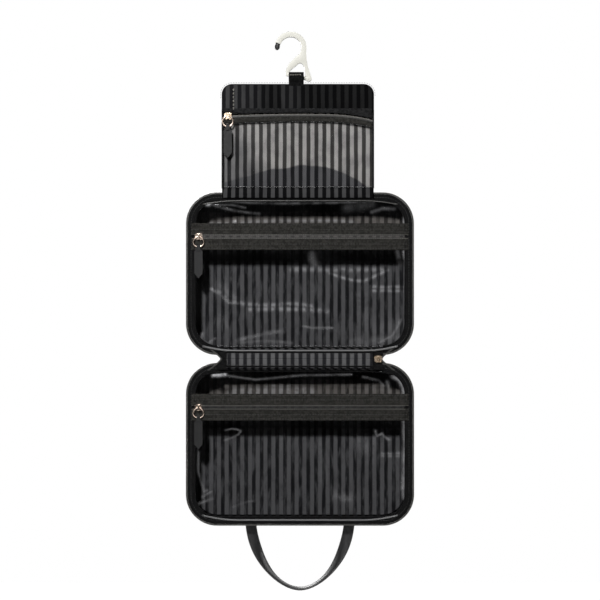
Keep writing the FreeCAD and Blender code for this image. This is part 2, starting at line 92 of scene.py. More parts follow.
POUCH_LEFT, POUCH_RIGHT = span("pouch_binding", "x")
POUCH_MIDDLE = (POUCH_LEFT + POUCH_RIGHT) / 2
POUCH_REACH = (POUCH_RIGHT - POUCH_LEFT) / 2
POUCH_TOP = span("pouch_edge", "z")[1] - 2.0
POUCH_BOTTOM = span("pouch_back", "z")[0]
POUCH_FRONT = span("pouch_window", "y")[0]
POUCH_CORNER = 12.0
HEADER_END = span("header_panel", "z")[0]

FORWARD = (0, -1, 0)       # the way a row of stitches faces on the bag's front


# Meshes. Points are in millimetres, X right, Y back, Z up.

def make_mesh(name, points, faces, uv=None, smooth=True):
    """A mesh object in the scene, from points and maybe a place on the flat cloth for each."""
    data = bpy.data.meshes.new(name)
    data.from_pydata((np.asarray(points, float) * MM).tolist(), [], [list(f) for f in faces])
    if uv is not None:
        layer = data.uv_layers.new(name="UVMap")
        index = np.zeros(len(data.loops), int)
        data.loops.foreach_get("vertex_index", index)
        layer.data.foreach_set("uv", (np.asarray(uv, float) * MM)[index].ravel())
    data.polygons.foreach_set("use_smooth", [smooth] * len(data.polygons))
    data.update()
    thing = bpy.data.objects.new(name, data)
    bpy.context.scene.collection.objects.link(thing)
    return thing


def mark(thing, name, values):
    """A value at each point of a sheet's front and back, for its material."""
    layer = thing.data.attributes.new(name, "FLOAT", "POINT")
    layer.data.foreach_set("value", np.concatenate([np.ravel(values)] * 2).astype(float))
    return thing


def quads(rows, columns, wrap_rows=False, wrap_columns=False, start=0, flip=False):
    """Faces over a grid of points that is stored row by row."""
    row = np.arange(rows if wrap_rows else rows - 1)[:, None]
    column = np.arange(columns if wrap_columns else columns - 1)[None, :]
    below, right = (row + 1) % rows, (column + 1) % columns
    corners = [row * columns + column, below * columns + column,
               below * columns + right, row * columns + right]
    faces = np.stack([np.broadcast_to(c, (row.size, column.size)) for c in corners], -1) + start
    faces = faces.reshape(-1, 4)
    return faces[:, ::-1] if flip else faces


def sheet(name, front, thick):
    """A sheet over a grid of points, rows downwards and columns to the right, with its back behind it."""
    rows, columns, _ = front.shape
    normal = np.cross(np.gradient(front, axis=0), np.gradient(front, axis=1))
    length = np.linalg.norm(normal, axis=-1, keepdims=True)
    normal = np.where(length > 1e-9, normal / np.maximum(length, 1e-9), (0, -1, 0))
    back = front - normal * thick
    count = rows * columns
    rim = np.concatenate([
        np.arange(columns), np.arange(2, rows) * columns - 1,
        count - 1 - np.arange(columns), np.arange(rows - 2, 0, -1) * columns,
    ])
    following = np.roll(rim, -1)
    edge = np.stack([rim, following, following + count, rim + count], -1)
    faces = np.concatenate([
        quads(rows, columns), quads(rows, columns, start=count, flip=True), edge,
    ])
    points = np.concatenate([front.reshape(-1, 3), back.reshape(-1, 3)])
    uv = front[..., [0, 2]].reshape(-1, 2)
    return make_mesh(name, points, faces, np.concatenate([uv] * 2))


def row_of(x, y, z):
    """Points from coordinates that are arrays or single numbers."""
    return np.stack(np.broadcast_arrays(x, y, z), -1).astype(float)


def straight(count, side=(0.0, 0.0, 1.0)):
    """The side and depth directions of a row, the same at each of its points."""
    return np.tile(side, (count, 1)), np.tile((0.0, 1.0, 0.0), (count, 1))


def lengths(path):
    """How far along a path each of its points lies."""
    return np.concatenate([[0], np.cumsum(np.linalg.norm(np.diff(path, axis=0), axis=1))])


def read_at(where, length, values):
    """Points or directions at other distances along a path."""
    return np.stack([np.interp(where, length, values[:, i]) for i in range(3)], -1)


def tube(name, path, side, depth, section, closed=True):
    """Sweep a closed section (side, depth) along a path; side and depth are directions at each point."""
    section = np.asarray(section, float)
    points = (
        path[:, None] + side[:, None] * section[None, :, :1] + depth[:, None] * section[None, :, 1:]
    )
    rows, columns = len(path), len(section)
    uv = np.stack(np.broadcast_arrays(lengths(path)[:, None], lengths(section)[None, :]), -1)
    faces = list(quads(rows, columns, closed, True))
    if not closed:
        faces += [np.arange(columns)[::-1], np.arange(columns) + (rows - 1) * columns]
    return make_mesh(name, points.reshape(-1, 3), faces, uv.reshape(-1, 2))


def disc(radius, count):
    """A round section."""
    turn = np.linspace(0, 2 * math.pi, count, endpoint=False)
    return np.stack([radius * np.cos(turn), radius * np.sin(turn)], -1)


def slab(low, high, near, far, soft):
    """A rectangular section from low to high and from near to far, with softened corners."""
    return [
        (low + soft, near), (high - soft, near), (high, near + soft), (high, far - soft),
        (high - soft, far), (low + soft, far), (low, far - soft), (low, near + soft),
    ]


def half_middle(half):
    """The height of a half's middle."""
    return sum(span(half + "_gusset", "z")) / 2


def outline(half, inset=0.0, gap=0.0, step=3.0):
    """Points and outward directions round a half, from the side at the spine, counted from its middle."""
    wide, tall, corner = HALF_WIDTH / 2 - inset, HALF_HEIGHT / 2 - inset, HALF_CORNER - inset
    dense = [(0, -tall, 0, -1)]
    for x, z, start in ((1, -1, -90), (1, 1, 0), (-1, 1, 90), (-1, -1, 180)):
        for turn in np.radians(start + np.linspace(0, 90, 25)):
            out = (math.cos(turn), math.sin(turn))
            dense.append((
                x * (wide - corner) + corner * out[0], z * (tall - corner) + corner * out[1], *out,
            ))
    dense.append((0, -tall, 0, -1))
    dense = np.array(dense)
    length = lengths(dense[:, :2])
    count = max(int((length[-1] - gap) / step), 8)
    at = np.linspace(gap / 2, length[-1] - gap / 2, count, endpoint=gap > 0)
    x, z, across, up = (np.interp(at, length, dense[:, i]) for i in range(4))
    if half == "lower":
        z, up = -z, -up
    zero = np.zeros_like(x)
    path = np.stack([x + BAG_MIDDLE, zero, z + half_middle(half)], -1)
    side = np.stack([across, zero, up], -1)
    depth = np.tile([0.0, 1.0, 0.0], (count, 1))
    if half == "lower":
        path, side = path[::-1], side[::-1]
    return path, side, depth


def ridge(x, z, line, wide, high):
    """A crease of the given width and height along a line of points."""
    best = np.full(x.shape, 1e9)
    for (ax, az), (bx, bz) in zip(line, line[1:]):
        dx, dz = bx - ax, bz - az
        t = np.clip(((x - ax) * dx + (z - az) * dz) / (dx * dx + dz * dz), 0, 1)
        best = np.minimum(best, (x - ax - t * dx) ** 2 + (z - az - t * dz) ** 2)
    return high * np.exp(-best / (2 * wide * wide))


def waves(x, z, reach, seed, count=9):
    """Gentle unevenness with lengths round `reach`, between about -1 and 1."""
    pick = np.random.default_rng(seed)
    total = np.zeros(np.shape(x))
    for _ in range(count):
        turn, length = pick.uniform(0, math.pi), reach * pick.uniform(0.6, 1.8)
        total = total + np.sin(
            (x * math.cos(turn) + z * math.sin(turn)) * 2 * math.pi / length + pick.uniform(0, 6.3)
        )
    return total / count * 1.6


def half_widths(levels, half, inset):
    """Half the width that a half's outline has at each level."""
    tall, corner = HALF_HEIGHT / 2 - inset, HALF_CORNER - inset
    over = np.clip(np.abs(levels - half_middle(half)) - (tall - corner), 0, corner)
    return HALF_WIDTH / 2 - inset - corner + np.sqrt(np.maximum(corner ** 2 - over ** 2, 0))


def pane_grid(half, inset, top, bottom, columns, rows):
    """A grid that fills a half's outline between two levels, its rows closer where the corners turn."""
    turn = np.linspace(0, math.pi, rows)
    levels = top + (bottom - top) * (0.35 * (1 - np.cos(turn)) / 2 + 0.65 * turn / math.pi)
    levels[0], levels[-1] = top, bottom
    across = np.linspace(-1, 1, columns)
    x = BAG_MIDDLE + half_widths(levels, half, inset)[:, None] * across[None, :]
    z = np.broadcast_to(levels[:, None], x.shape)
    return x, z


def teeth(name, path, side, depth, pitch, long, high):
    """A coil's visible loops: small rounded bars across a path, one per pitch."""
    length = lengths(path)
    at = np.arange(pitch / 2, length[-1], pitch)
    centre, out, deep = (read_at(at, length, values) for values in (path, side, depth))
    ahead = np.cross(out, deep)
    section = [(-0.5, -0.1), (-0.42, -0.5), (0.42, -0.5), (0.5, -0.1), (0.42, 0.5), (-0.42, 0.5)]
    corners = [(a, b, way) for way in (-0.4, 0.4) for a, b in section]
    points = np.stack([
        centre + out * (a * long) + deep * (b * high) + ahead * (way * pitch) for a, b, way in corners
    ], 1)
    face = [list(range(6)), list(range(11, 5, -1))] + [
        [i, i + 6, (i + 1) % 6 + 6, (i + 1) % 6] for i in range(6)
    ]
    faces = [[v + 12 * n for v in f] for n in range(len(at)) for f in face]
    uv = np.repeat(np.stack([at, at * 0], -1), 12, axis=0)
    return make_mesh(name, points.reshape(-1, 3), faces, uv, smooth=False)


def stitches(name, path, pitch=3.2, long=2.2, thick=0.45):
    """A row of thread stitches along a path on the bag's front, slightly proud of the fabric."""
    length = lengths(path)
    at = np.arange(pitch / 2, length[-1] - pitch / 2, pitch)
    out = np.array(FORWARD, float)
    start, end = (read_at(at + way * long / 2, length, path) for way in (-1, 1))
    ahead = (end - start) / np.linalg.norm(end - start, axis=1, keepdims=True)
    across = np.cross(ahead, out)
    points = []
    for share, size in ((0, 0.3), (0.12, 1.0), (0.88, 1.0), (1, 0.3)):
        middle = start + (end - start) * share
        for a, b in ((-0.5, 0), (0, 0.6), (0.5, 0), (0, -0.6)):
            points.append(middle + across * a * thick * size + out * b * thick * size)
    points = np.stack(points, 1)
    face = [[0, 1, 2, 3], [15, 14, 13, 12]] + [
        [4 * k + i, 4 * k + 4 + i, 4 * k + 4 + (i + 1) % 4, 4 * k + (i + 1) % 4]
        for k in range(3) for i in range(4)
    ]
    faces = [[v + 16 * n for v in f] for n in range(len(at)) for f in face]
    return make_mesh(name, points.reshape(-1, 3), faces)


# Materials

WHITE, BLACK = (1.0, 1.0, 1.0), (0.0, 0.0, 0.0)

# The finished materials by name.
PAINTS = {}


class Value:
    """A number in a material, so that shader maths reads as ordinary maths."""

    def __init__(self, paint, socket):
        self.paint, self.socket = paint, socket

    def _maths(self, operation, *values):
        node = self.paint.node("ShaderNodeMath", {"operation": operation}, *values)
        return Value(self.paint, node.outputs[0])

    def __add__(self, other):
        return self._maths("ADD", self, other)

    def __radd__(self, other):
        return self._maths("ADD", other, self)

    def __sub__(self, other):
        return self._maths("SUBTRACT", self, other)

    def __rsub__(self, other):
        return self._maths("SUBTRACT", other, self)

    def __mul__(self, other):
        return self._maths("MULTIPLY", self, other)

    def __rmul__(self, other):
        return self._maths("MULTIPLY", other, self)

    def __truediv__(self, other):
        return self._maths("DIVIDE", self, other)

    def __rtruediv__(self, other):
        return self._maths("DIVIDE", other, self)

    def sine(self):
        """Sine of an angle in radians."""
        return self._maths("SINE", self)

    def step(self, low, high):
        """0 below low, 1 above high and smooth between them."""
        node = self.paint.node(
            "ShaderNodeMapRange", {"interpolation_type": "SMOOTHSTEP"}, self, low, high,
        )
        return Value(self.paint, node.outputs[0])


class Paint:
    """A material or the world's light under construction."""

    def __init__(self, name, store="materials"):
        self.name, self.owner = name, getattr(bpy.data, store).new(name)
        self.owner.use_nodes = True
        self.tree = self.owner.node_tree
        self.tree.nodes.clear()

    def node(self, kind, settings=None, *values, **named):
        """Add a node: its settings first, then its inputs in order or by name."""
        node = self.tree.nodes.new(kind)
        for name, setting in (settings or {}).items():
            setattr(node, name, setting)
        inputs = list(enumerate(values)) + [(k.replace("_", " "), v) for k, v in named.items()]
        for key, value in inputs:
            if value is None:
                continue
            if isinstance(value, Value):
                value = value.socket
            if isinstance(value, bpy.types.NodeSocket):
                self.tree.links.new(value, node.inputs[key])
            elif isinstance(value, (tuple, list)) and node.inputs[key].type == "RGBA":
                node.inputs[key].default_value = (*value[:3], 1.0)
            else:
                node.inputs[key].default_value = value
        return node

    def place(self, source="Object"):
        """The three coordinates: Object in metres at rest, or UV."""
        vector = self.node("ShaderNodeTexCoord").outputs[source]
        parts = self.node("ShaderNodeSeparateXYZ", None, vector)
        return vector, [Value(self, parts.outputs[i]) for i in range(3)]

    def marked(self, name):
        """The value that mark() left on a mesh."""
        return Value(self, self.node("ShaderNodeAttribute", {"attribute_name": name}).outputs[2])

    def noise(self, vector, scale, detail=2.0, rough=0.5, stretch=None):
        """Cloudy unevenness, round a half, with features that stretch makes longer where it is small."""
        if stretch:
            vector = self.node(
                "ShaderNodeVectorMath", {"operation": "MULTIPLY"}, vector, stretch,
            ).outputs[0]
        node = self.node(
            "ShaderNodeTexNoise", None, Vector=vector, Scale=scale, Detail=detail, Roughness=rough,
        )
        return Value(self, node.outputs[0])

    def mix(self, share, first, second):
        """Between two colours."""
        node = self.node("ShaderNodeMix", {"data_type": "RGBA"})
        for index, value in ((0, share), (6, first), (7, second)):
            if isinstance(value, Value):
                value = value.socket
            if isinstance(value, bpy.types.NodeSocket):
                self.tree.links.new(value, node.inputs[index])
            elif index:
                node.inputs[index].default_value = (*value[:3], 1.0)
            else:
                node.inputs[index].default_value = value
        return node.outputs[2]

    def bump(self, height, distance, strength=1.0, normal=None):
        """A surface's direction after a fine relief of the given depth in metres."""
        return self.node(
            "ShaderNodeBump", None, Strength=strength, Distance=distance, Height=height,
            Normal=normal,
        ).outputs[0]

    def surface(self, colour, rough, normal=None, **constants):
        """The usual shader, with whatever else stays the same all over."""
        return self.node(
            "ShaderNodeBsdfPrincipled", None, Base_Color=colour, Roughness=rough, Normal=normal,
            **constants,
        ).outputs[0]

    def finish(self, shader, output="ShaderNodeOutputMaterial"):
        """Send the shader to the output, keep the material in PAINTS and give it back."""
        self.node(output, None, shader)
        PAINTS[self.name] = self.owner
        return self.owner


def times(colour, share):
    """A colour made paler or darker."""
    return [part * share for part in colour[:3]]


def striped(
    name, dark, light, pitch, middle, source="Object", index=0, soft=0.22, coat=0.0, slick=0.16,
    uneven=0.8, streak=0.0, mask=None, lit_dark=None, lit_light=None, shade=None, glint=None,
):
    """Satin with stripes of the same width, woven in one colour, that differ in sheen.

    A stripe is centred on middle and they repeat along the coordinate of that index. streak makes
    pale streaks in the dark stripes. The mask's part of the cloth takes the lit colours, which are
    painted light; the shade's part is painted shadow, nearly black; and glint is the colour of the
    painted highlights on the folds that are marked on the mesh.
    """
    paint = Paint(name)
    vector, at = paint.place(source)
    wander = paint.noise(vector, 60.0, 1.0) * 0.0007
    wave = ((at[index] + wander - middle * MM) * (2 * math.pi / (pitch * MM)) + math.pi / 2).sine()
    stripe = wave.step(-soft, soft)
    cloud = paint.noise(vector, 25.0, 3.0)
    patch = paint.noise(vector, 90.0, 4.0, 0.65, stretch=(1.0, 1.0, 0.5)).step(0.3, 0.7)
    share = stripe * (1.0 - uneven * 0.5 + uneven * (0.5 * patch + 0.5 * cloud))
    if streak:
        veil = paint.noise(vector, 170.0, 3.0, 0.6, stretch=(1.0, 1.0, 0.22)).step(0.42, 0.72)
        share = share + (1.0 - share) * veil * streak
    # Painted light: the mask's part takes the lit colours.
    if mask:
        lit = mask(paint, vector, at)
        dark, light = paint.mix(lit, dark, lit_dark), paint.mix(lit, light, lit_light)
    # Painted shadow: the shade's part is darkened towards black.
    if shade:
        shadow = shade(paint, vector, at) * 0.7
        dark, light = paint.mix(shadow, dark, BLACK), paint.mix(shadow, light, BLACK)
    colour = paint.mix(share, dark, light)
    # Painted highlights: the glint colour along the marked folds.
    if glint:
        piece = 0.25 + 0.75 * paint.noise(vector, 160.0, 2.0).step(0.3, 0.5)
        colour = paint.mix(paint.marked("glint") * piece * (0.08 + 0.92 * stripe), colour, glint)
    weave = paint.noise(vector, 2600.0, 1.0, stretch=(1.0, 1.0, 0.35))
    creases = paint.noise(vector, 45.0, 3.0)
    normal = paint.bump(weave, 0.0002, 0.5)
    normal = paint.bump(creases, 0.0016, 0.35, normal)
    rough = 0.62 - 0.2 * stripe
    return paint.finish(paint.surface(
        colour, rough, normal, IOR=1.06, Specular_IOR_Level=0.5, Coat_Weight=coat * stripe,
        Coat_Roughness=slick, Coat_IOR=1.8,
    ))


def under_arch(paint, vector, at):
    """The part of the pouch's lining above a wavy arch, painted with the lit colours as the sheen of the
    light that reaches it through the window.
    """
    middle, top = 17.0, -138.0
    x, z = at[0] / MM, at[2] / MM
    wobble = paint.noise(vector, 30.0, 3.0) * 8.0 - 4.0
    off = x - middle
    arch = top - (0.0038 + 0.000015 * off) * off * off
    above = (z - arch + wobble).step(-1.2, 1.2)
    cloud = paint.noise(vector, 40.0, 3.0, 0.6).step(0.3, 0.6)
    # The painted sheen is dimmer left of a slanting line beside the slider's pull.
    off_the_pull = (x + 0.8 * (z + 125.0)).step(-62.0, -30.0)
    return above * (0.25 + 0.75 * off_the_pull) * (0.55 + 0.45 * cloud)


def below_top(at):
    """How many millimetres a point of a half's lining is below the half's top."""
    upper, lower = (half_middle(half) + HALF_HEIGHT / 2 for half in HALVES)
    z = at[2] / MM
    return lower + (upper - lower) * z.step(lower, lower + 2.0) - z


def over_bands(paint, vector, at):
    """The linings' strips above the pocket zips, painted with the lit colours as the light that reaches
    them in full.
    """
    return 1.0 - below_top(at).step(BEHIND_BAND - 1.0, BEHIND_BAND + 1.0)


def in_shade(paint, vector, at):
    """The linings' strips painted as shadow, where the walls and the zips' bands keep the light away."""
    below = below_top(at) + paint.noise(vector, 35.0, 2.0) * 3.0 - 1.5
    by_wall = 1.0 - below.step(UNDER_WALL - 1.5, UNDER_WALL + 1.5)
    past_band = below.step(UNDER_BAND - 2.5, UNDER_BAND + 2.5)
    return by_wall + below.step(BEHIND_BAND, BEHIND_BAND + 2.0) * (1.0 - past_band)


def left_lit(paint, vector, at):
    """Painted light on the header: its left end, which faces the light, and a paler stretch at its
    middle.
    """
    x = at[0] / MM + 14.0 * paint.noise(vector, 30.0, 2.0) - 7.0
    return 1.0 - 0.85 * x.step(-66.0, -18.0) + 0.35 * x.step(-13.0, -9.0) - 0.4 * x.step(2.0, 18.0)


def tape_cloth(name, colour, rib, source="Object", index=2, depth=0.0001):
    """Woven zip tape or webbing, ribbed along its length."""
    paint = Paint(name)
    vector, at = paint.place(source)
    ribs = (at[index] * (2 * math.pi / (rib * MM))).sine()
    grain = paint.noise(vector, 1500.0, 2.0)
    speck = paint.noise(vector, 380.0, 3.0, 0.75).step(0.38, 0.62) * 0.75 + grain * 0.25
    shade = paint.mix(speck, times(colour, 0.45), times(colour, 1.55))
    normal = paint.bump(ribs * 0.5 + grain, depth, 0.8)
    return paint.finish(paint.surface(
        shade, 0.8, normal, Specular_IOR_Level=0.05, Sheen_Weight=0.02, Sheen_Roughness=0.5,
    ))


def leather(name, colour, grain, rough, shine=0.25):
    """Smooth leather with a fine pebbled grain."""
    paint = Paint(name)
    vector, _ = paint.place()
    pebble = paint.node(
        "ShaderNodeTexVoronoi", {"feature": "SMOOTH_F1"}, Vector=vector, Scale=grain,
    ).outputs[0]
    soft = paint.noise(vector, grain * 0.2, 3.0)
    normal = paint.bump(pebble, 0.0002, 0.5)
    normal = paint.bump(soft, 0.0006, 0.4, normal)
    return paint.finish(paint.surface(
        colour, rough + 0.15 * soft, normal, Specular_IOR_Level=shine,
    ))


def clear_vinyl(name, haze, tint, rough):
    """Thin clear sheet: it shows what is behind it, with a gloss over it, a faint milky veil and painted
    glare along the marked creases.
    """
    paint = Paint(name)
    vector, _ = paint.place()
    cloud = paint.noise(vector, 18.0, 4.0, 0.6)
    ripple = paint.noise(vector, 70.0, 2.0)
    normal = paint.bump(ripple, 0.0008, 0.35)
    clear = paint.node("ShaderNodeBsdfTransparent", None, (0.97, 0.97, 0.975)).outputs[0]
    veil = paint.surface(tint, 0.5, normal)
    broken = paint.noise(vector, 70.0, 3.0, 0.6).step(0.3, 0.62)
    # The haze is the vinyl's own faint veil; the marked part is painted glare along the creases.
    haze_and_glare = haze * cloud.step(0.35, 0.75) + paint.marked("haze_and_glare") * (0.12 + 0.6 * broken)
    veiled = paint.node("ShaderNodeMixShader", None, haze_and_glare, clear, veil)
    gloss = paint.node(
        "ShaderNodeBsdfGlossy", None, Color=WHITE, Roughness=rough, Normal=normal,
    )
    facing = paint.node("ShaderNodeLayerWeight", None, Blend=0.5, Normal=normal).outputs["Facing"]
    slant = Value(paint, facing) * facing
    # A clear sheet mirrors this share of the light face on, and nearly all of it edge-on.
    face_on = 0.04
    share = face_on + (1 - face_on) * slant * slant * facing
    return paint.finish(paint.node(
        "ShaderNodeMixShader", None, share, veiled.outputs[0], gloss.outputs[0],
    ).outputs[0])


def plain(name, colour, rough, wear=0.0, scale=900.0, bump=0.0, **constants):
    """Plastic, thread, foam or metal of one colour, whose polish is worn unevenly."""
    paint = Paint(name)
    vector, _ = paint.place()
    grain = paint.noise(vector, scale, 3.0)
    normal = paint.bump(grain, bump, 0.5) if bump else None
    return paint.finish(paint.surface(colour, rough + wear * (grain - 0.5), normal, **constants))


def brass(name, dark, light, rough):
    """Cast metal mottled with darker patches."""
    paint = Paint(name)
    vector, _ = paint.place()
    worn = paint.noise(vector, 420.0, 3.0, 0.65).step(0.42, 0.6)
    normal = paint.bump(paint.noise(vector, 500.0, 2.0), 0.0006, 0.6)
    return paint.finish(paint.surface(
        paint.mix(worn, dark, light), rough + 0.25 * (1.0 - worn), normal, Metallic=1.0,
    ))


def stand_in(thing, slot, body, *nodes):
    """A modelled piece in place of CAD nodes: painted, and riding on a body if one is given."""
    thing.data.materials.clear()
    thing.data.materials.append(PAINTS[slot])
    if nodes:
        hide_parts(*nodes)
    if body:
        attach(thing, body)
    return thing


def bend(thing, first, second, x, start, end):
    """Bake a piece's place into its mesh, without bending it; the two bodies, the place and the heights,
    in millimetres, are not used.
    """
    x * MM
    start * MM
    x * MM
    end * MM
    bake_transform(thing)


# What a user can change

class BagSizes(bpy.types.PropertyGroup):
    """Sizes of the cloth, the zips and the padding."""
    stripe_pitch: FloatProperty(
        name="Stripe pitch", description="From one matt stripe to the next",
        default=0.00925, min=0.003, max=0.03, unit="LENGTH",
    )
    tooth_pitch: FloatProperty(
        name="Tooth pitch", description="From one loop of a zip's coil to the next",
        default=0.00145, min=0.0008, max=0.004, unit="LENGTH",
    )
    pouch_bulge: FloatProperty(
        name="Pouch bulge", description="How far the pouch's window stands out",
        default=0.0012, min=0.0, max=0.008, unit="LENGTH",
    )
    window_wave: FloatProperty(
        name="Window unevenness", description="Height of the vinyl's waves",
        default=0.00032, min=0.0, max=0.0015, unit="LENGTH",
    )
    wall_puff: FloatProperty(
        name="Wall puff", description="How far the padded walls bow out",
        default=0.001, min=0.0, max=0.004, unit="LENGTH",
    )


class BagColours(bpy.types.PropertyGroup):
    """Colours of the bag's materials."""
    satin_dark: FloatVectorProperty(
        name="Satin ground", description="Colour of the shiny ground between the stripes",
        subtype="COLOR", default=(0.0045, 0.0045, 0.005), min=0.0, max=1.0,
    )
    satin_light: FloatVectorProperty(
        name="Satin stripe", description="Colour of the paler woven stripes",
        subtype="COLOR", default=(0.115, 0.115, 0.118), min=0.0, max=1.0,
    )
    tape: FloatVectorProperty(
        name="Zip tape", description="Colour of the zip tapes", subtype="COLOR",
        default=(0.0305, 0.0295, 0.0268), min=0.0, max=1.0,
    )
    binding: FloatVectorProperty(
        name="Binding", description="Colour of bindings, piping and webbing", subtype="COLOR",
        default=(0.008, 0.008, 0.0083), min=0.0, max=1.0,
    )
    metal: FloatVectorProperty(
        name="Zip metal", description="Colour of sliders and rings", subtype="COLOR",
        default=(0.82, 0.67, 0.56), min=0.0, max=1.0,
    )
    strap: FloatVectorProperty(
        name="Strap", description="Colour of the handle's strap and tabs", subtype="COLOR",
        default=(0.012, 0.012, 0.0125), min=0.0, max=1.0,
    )
    hook: FloatVectorProperty(
        name="Hook", description="Colour of the plastic hook", subtype="COLOR",
        default=(0.76, 0.75, 0.68), min=0.0, max=1.0,
    )


class BagStage(bpy.types.PropertyGroup):
    """The camera's distance and the lights."""
    distance: FloatProperty(
        name="Camera distance", description="From the camera to the bag's front",
        default=1.78, min=0.5, max=6.0, unit="LENGTH",
    )
    key_power: FloatProperty(
        name="Key light", description="Power of the main lamp", default=38.0, min=0.0, unit="POWER",
    )
    room: FloatProperty(
        name="Room light", description="Strength of the light from above", default=0.045, min=0.0,
    )


# Operators

class BAG_OT_materials(bpy.types.Operator):
    """Make the bag's materials and finish the CAD parts that keep their shape"""
    bl_idname = "bag.materials"
    bl_label = "Materials"

    def execute(self, context):
        colours = context.scene.bag_colours
        self.stripes(colours, context.scene.bag_sizes.stripe_pitch / MM)
        self.threads(tuple(colours.binding), tuple(colours.tape))
        self.others(colours)
        self.finish_solids()
        return {"FINISHED"}

    def stripes(self, colours, pitch):
        """The striped satin, outside and inside."""
        dark, light = tuple(colours.satin_dark), tuple(colours.satin_light)
        striped("satin_stripe", dark, times(light, 0.55), pitch, 7.35)
        striped("reverse", dark, times(light, 0.5), pitch, 7.35)
        striped("side_stripe", dark, times(light, 0.55), pitch, 2.0, "UV")
        striped("wall_lining", dark, times(light, 0.25), pitch, 0.0, "UV", soft=0.4)
        striped("spine_stripe", times(dark, 4.5), times(light, 1.15), pitch, 7.35, soft=0.6)
        # The header's colours are shaded and lit copies of the satin: painted shade over most of it and
        # painted light on its left end.
        striped(
            "header_stripe", times(dark, 0.3), times(light, 0.06), pitch, 10.15,
            mask=left_lit, lit_dark=times(dark, 2.6), lit_light=times(light, 0.42),
        )
        # The case linings: painted light above the bands, painted shadow under the walls and bands, and
        # painted highlights on the marked folds.
        striped(
            "lining", times(dark, 2.6), times(light, 0.94), pitch, 16.6, soft=0.55, coat=0.05,
            slick=0.2, uneven=1.15, streak=0.65, mask=over_bands, lit_dark=(0.03, 0.028, 0.026),
            lit_light=(0.165, 0.153, 0.142), shade=in_shade, glint=(0.42, 0.42, 0.425),
        )
        # The pouch's lining: painted sheen above the arch.
        striped(
            "pouch_lining", times(dark, 3.0), times(light, 1.1), pitch, 7.35, soft=0.3, uneven=0.4,
            mask=under_arch, lit_dark=(0.055, 0.052, 0.049), lit_light=(0.47, 0.455, 0.435),
        )

    def threads(self, cloth, tape):
        """Woven tapes and bindings, the zips' coils and the threads."""
        tape_cloth("binding", cloth, 0.9, index=1)
        tape_cloth("hem", times(cloth, 2.0), 0.9)
        tape_cloth("webbing", cloth, 1.5, index=0, depth=0.0004)
        tape_cloth("zip_tape", tape, 1.1)
        tape_cloth("main_tape", cloth, 1.1, "UV", 1)
        plain("zip_chain", (0.018, 0.0175, 0.016), 0.45, 0.2, bump=0.00005)
        plain("coil", (0.075, 0.073, 0.068), 0.3, 0.2)
        plain("coil_thread", (0.19, 0.18, 0.16), 0.6, 0.2)
        # The welt's pale colour paints the highlight along the windows' cords.
        plain("welt", (0.12, 0.12, 0.122), 0.35, 0.2)
        plain("stitch", (0.045, 0.045, 0.044), 0.5, 0.2)

    def others(self, colours):
        """Vinyl, metal, leather, plastic, rubber and foam."""
        clear_vinyl("vinyl", 0.002, (0.8, 0.8, 0.82), 0.05)
        clear_vinyl("pouch_vinyl", 0.012, (0.5, 0.5, 0.52), 0.09)
        brass("old_gold", (0.16, 0.115, 0.07), (0.62, 0.5, 0.38), 0.3)
        plain("rose_gold", tuple(colours.metal), 0.24, 0.15, 300.0, Metallic=1.0)
        leather("pull_leather", (0.014, 0.014, 0.0145), 1400.0, 0.5)
        leather("strap_leather", tuple(colours.strap), 1500.0, 0.36, 0.6)
        plain("hook_plastic", tuple(colours.hook), 0.4, 0.1, 60.0, Specular_IOR_Level=0.3)
        plain("tip_rubber", (0.013, 0.013, 0.013), 0.55, 0.1, bump=0.00004)
        plain("foam_board", (0.02, 0.02, 0.02), 0.9)

    def finish_solids(self):
        """The sliders, rings, pulls and foam boards keep their solids and get their materials."""
        slots = {half + "_stiffener": "foam_board" for half in HALVES}
        for zip_name in ("pouch", "upper", "lower", "main"):
            slots[zip_name + "_slider"] = slots[zip_name + "_ring"] = "rose_gold"
            slots[zip_name + "_pull"] = "pull_leather"
        slots["main_slider"] = slots["pouch_slider"] = "old_gold"
        for node, slot in slots.items():
            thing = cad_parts[node]
            for index in range(len(thing.material_slots)):
                thing.material_slots[index].link = "OBJECT"
                thing.material_slots[index].material = PAINTS[slot]


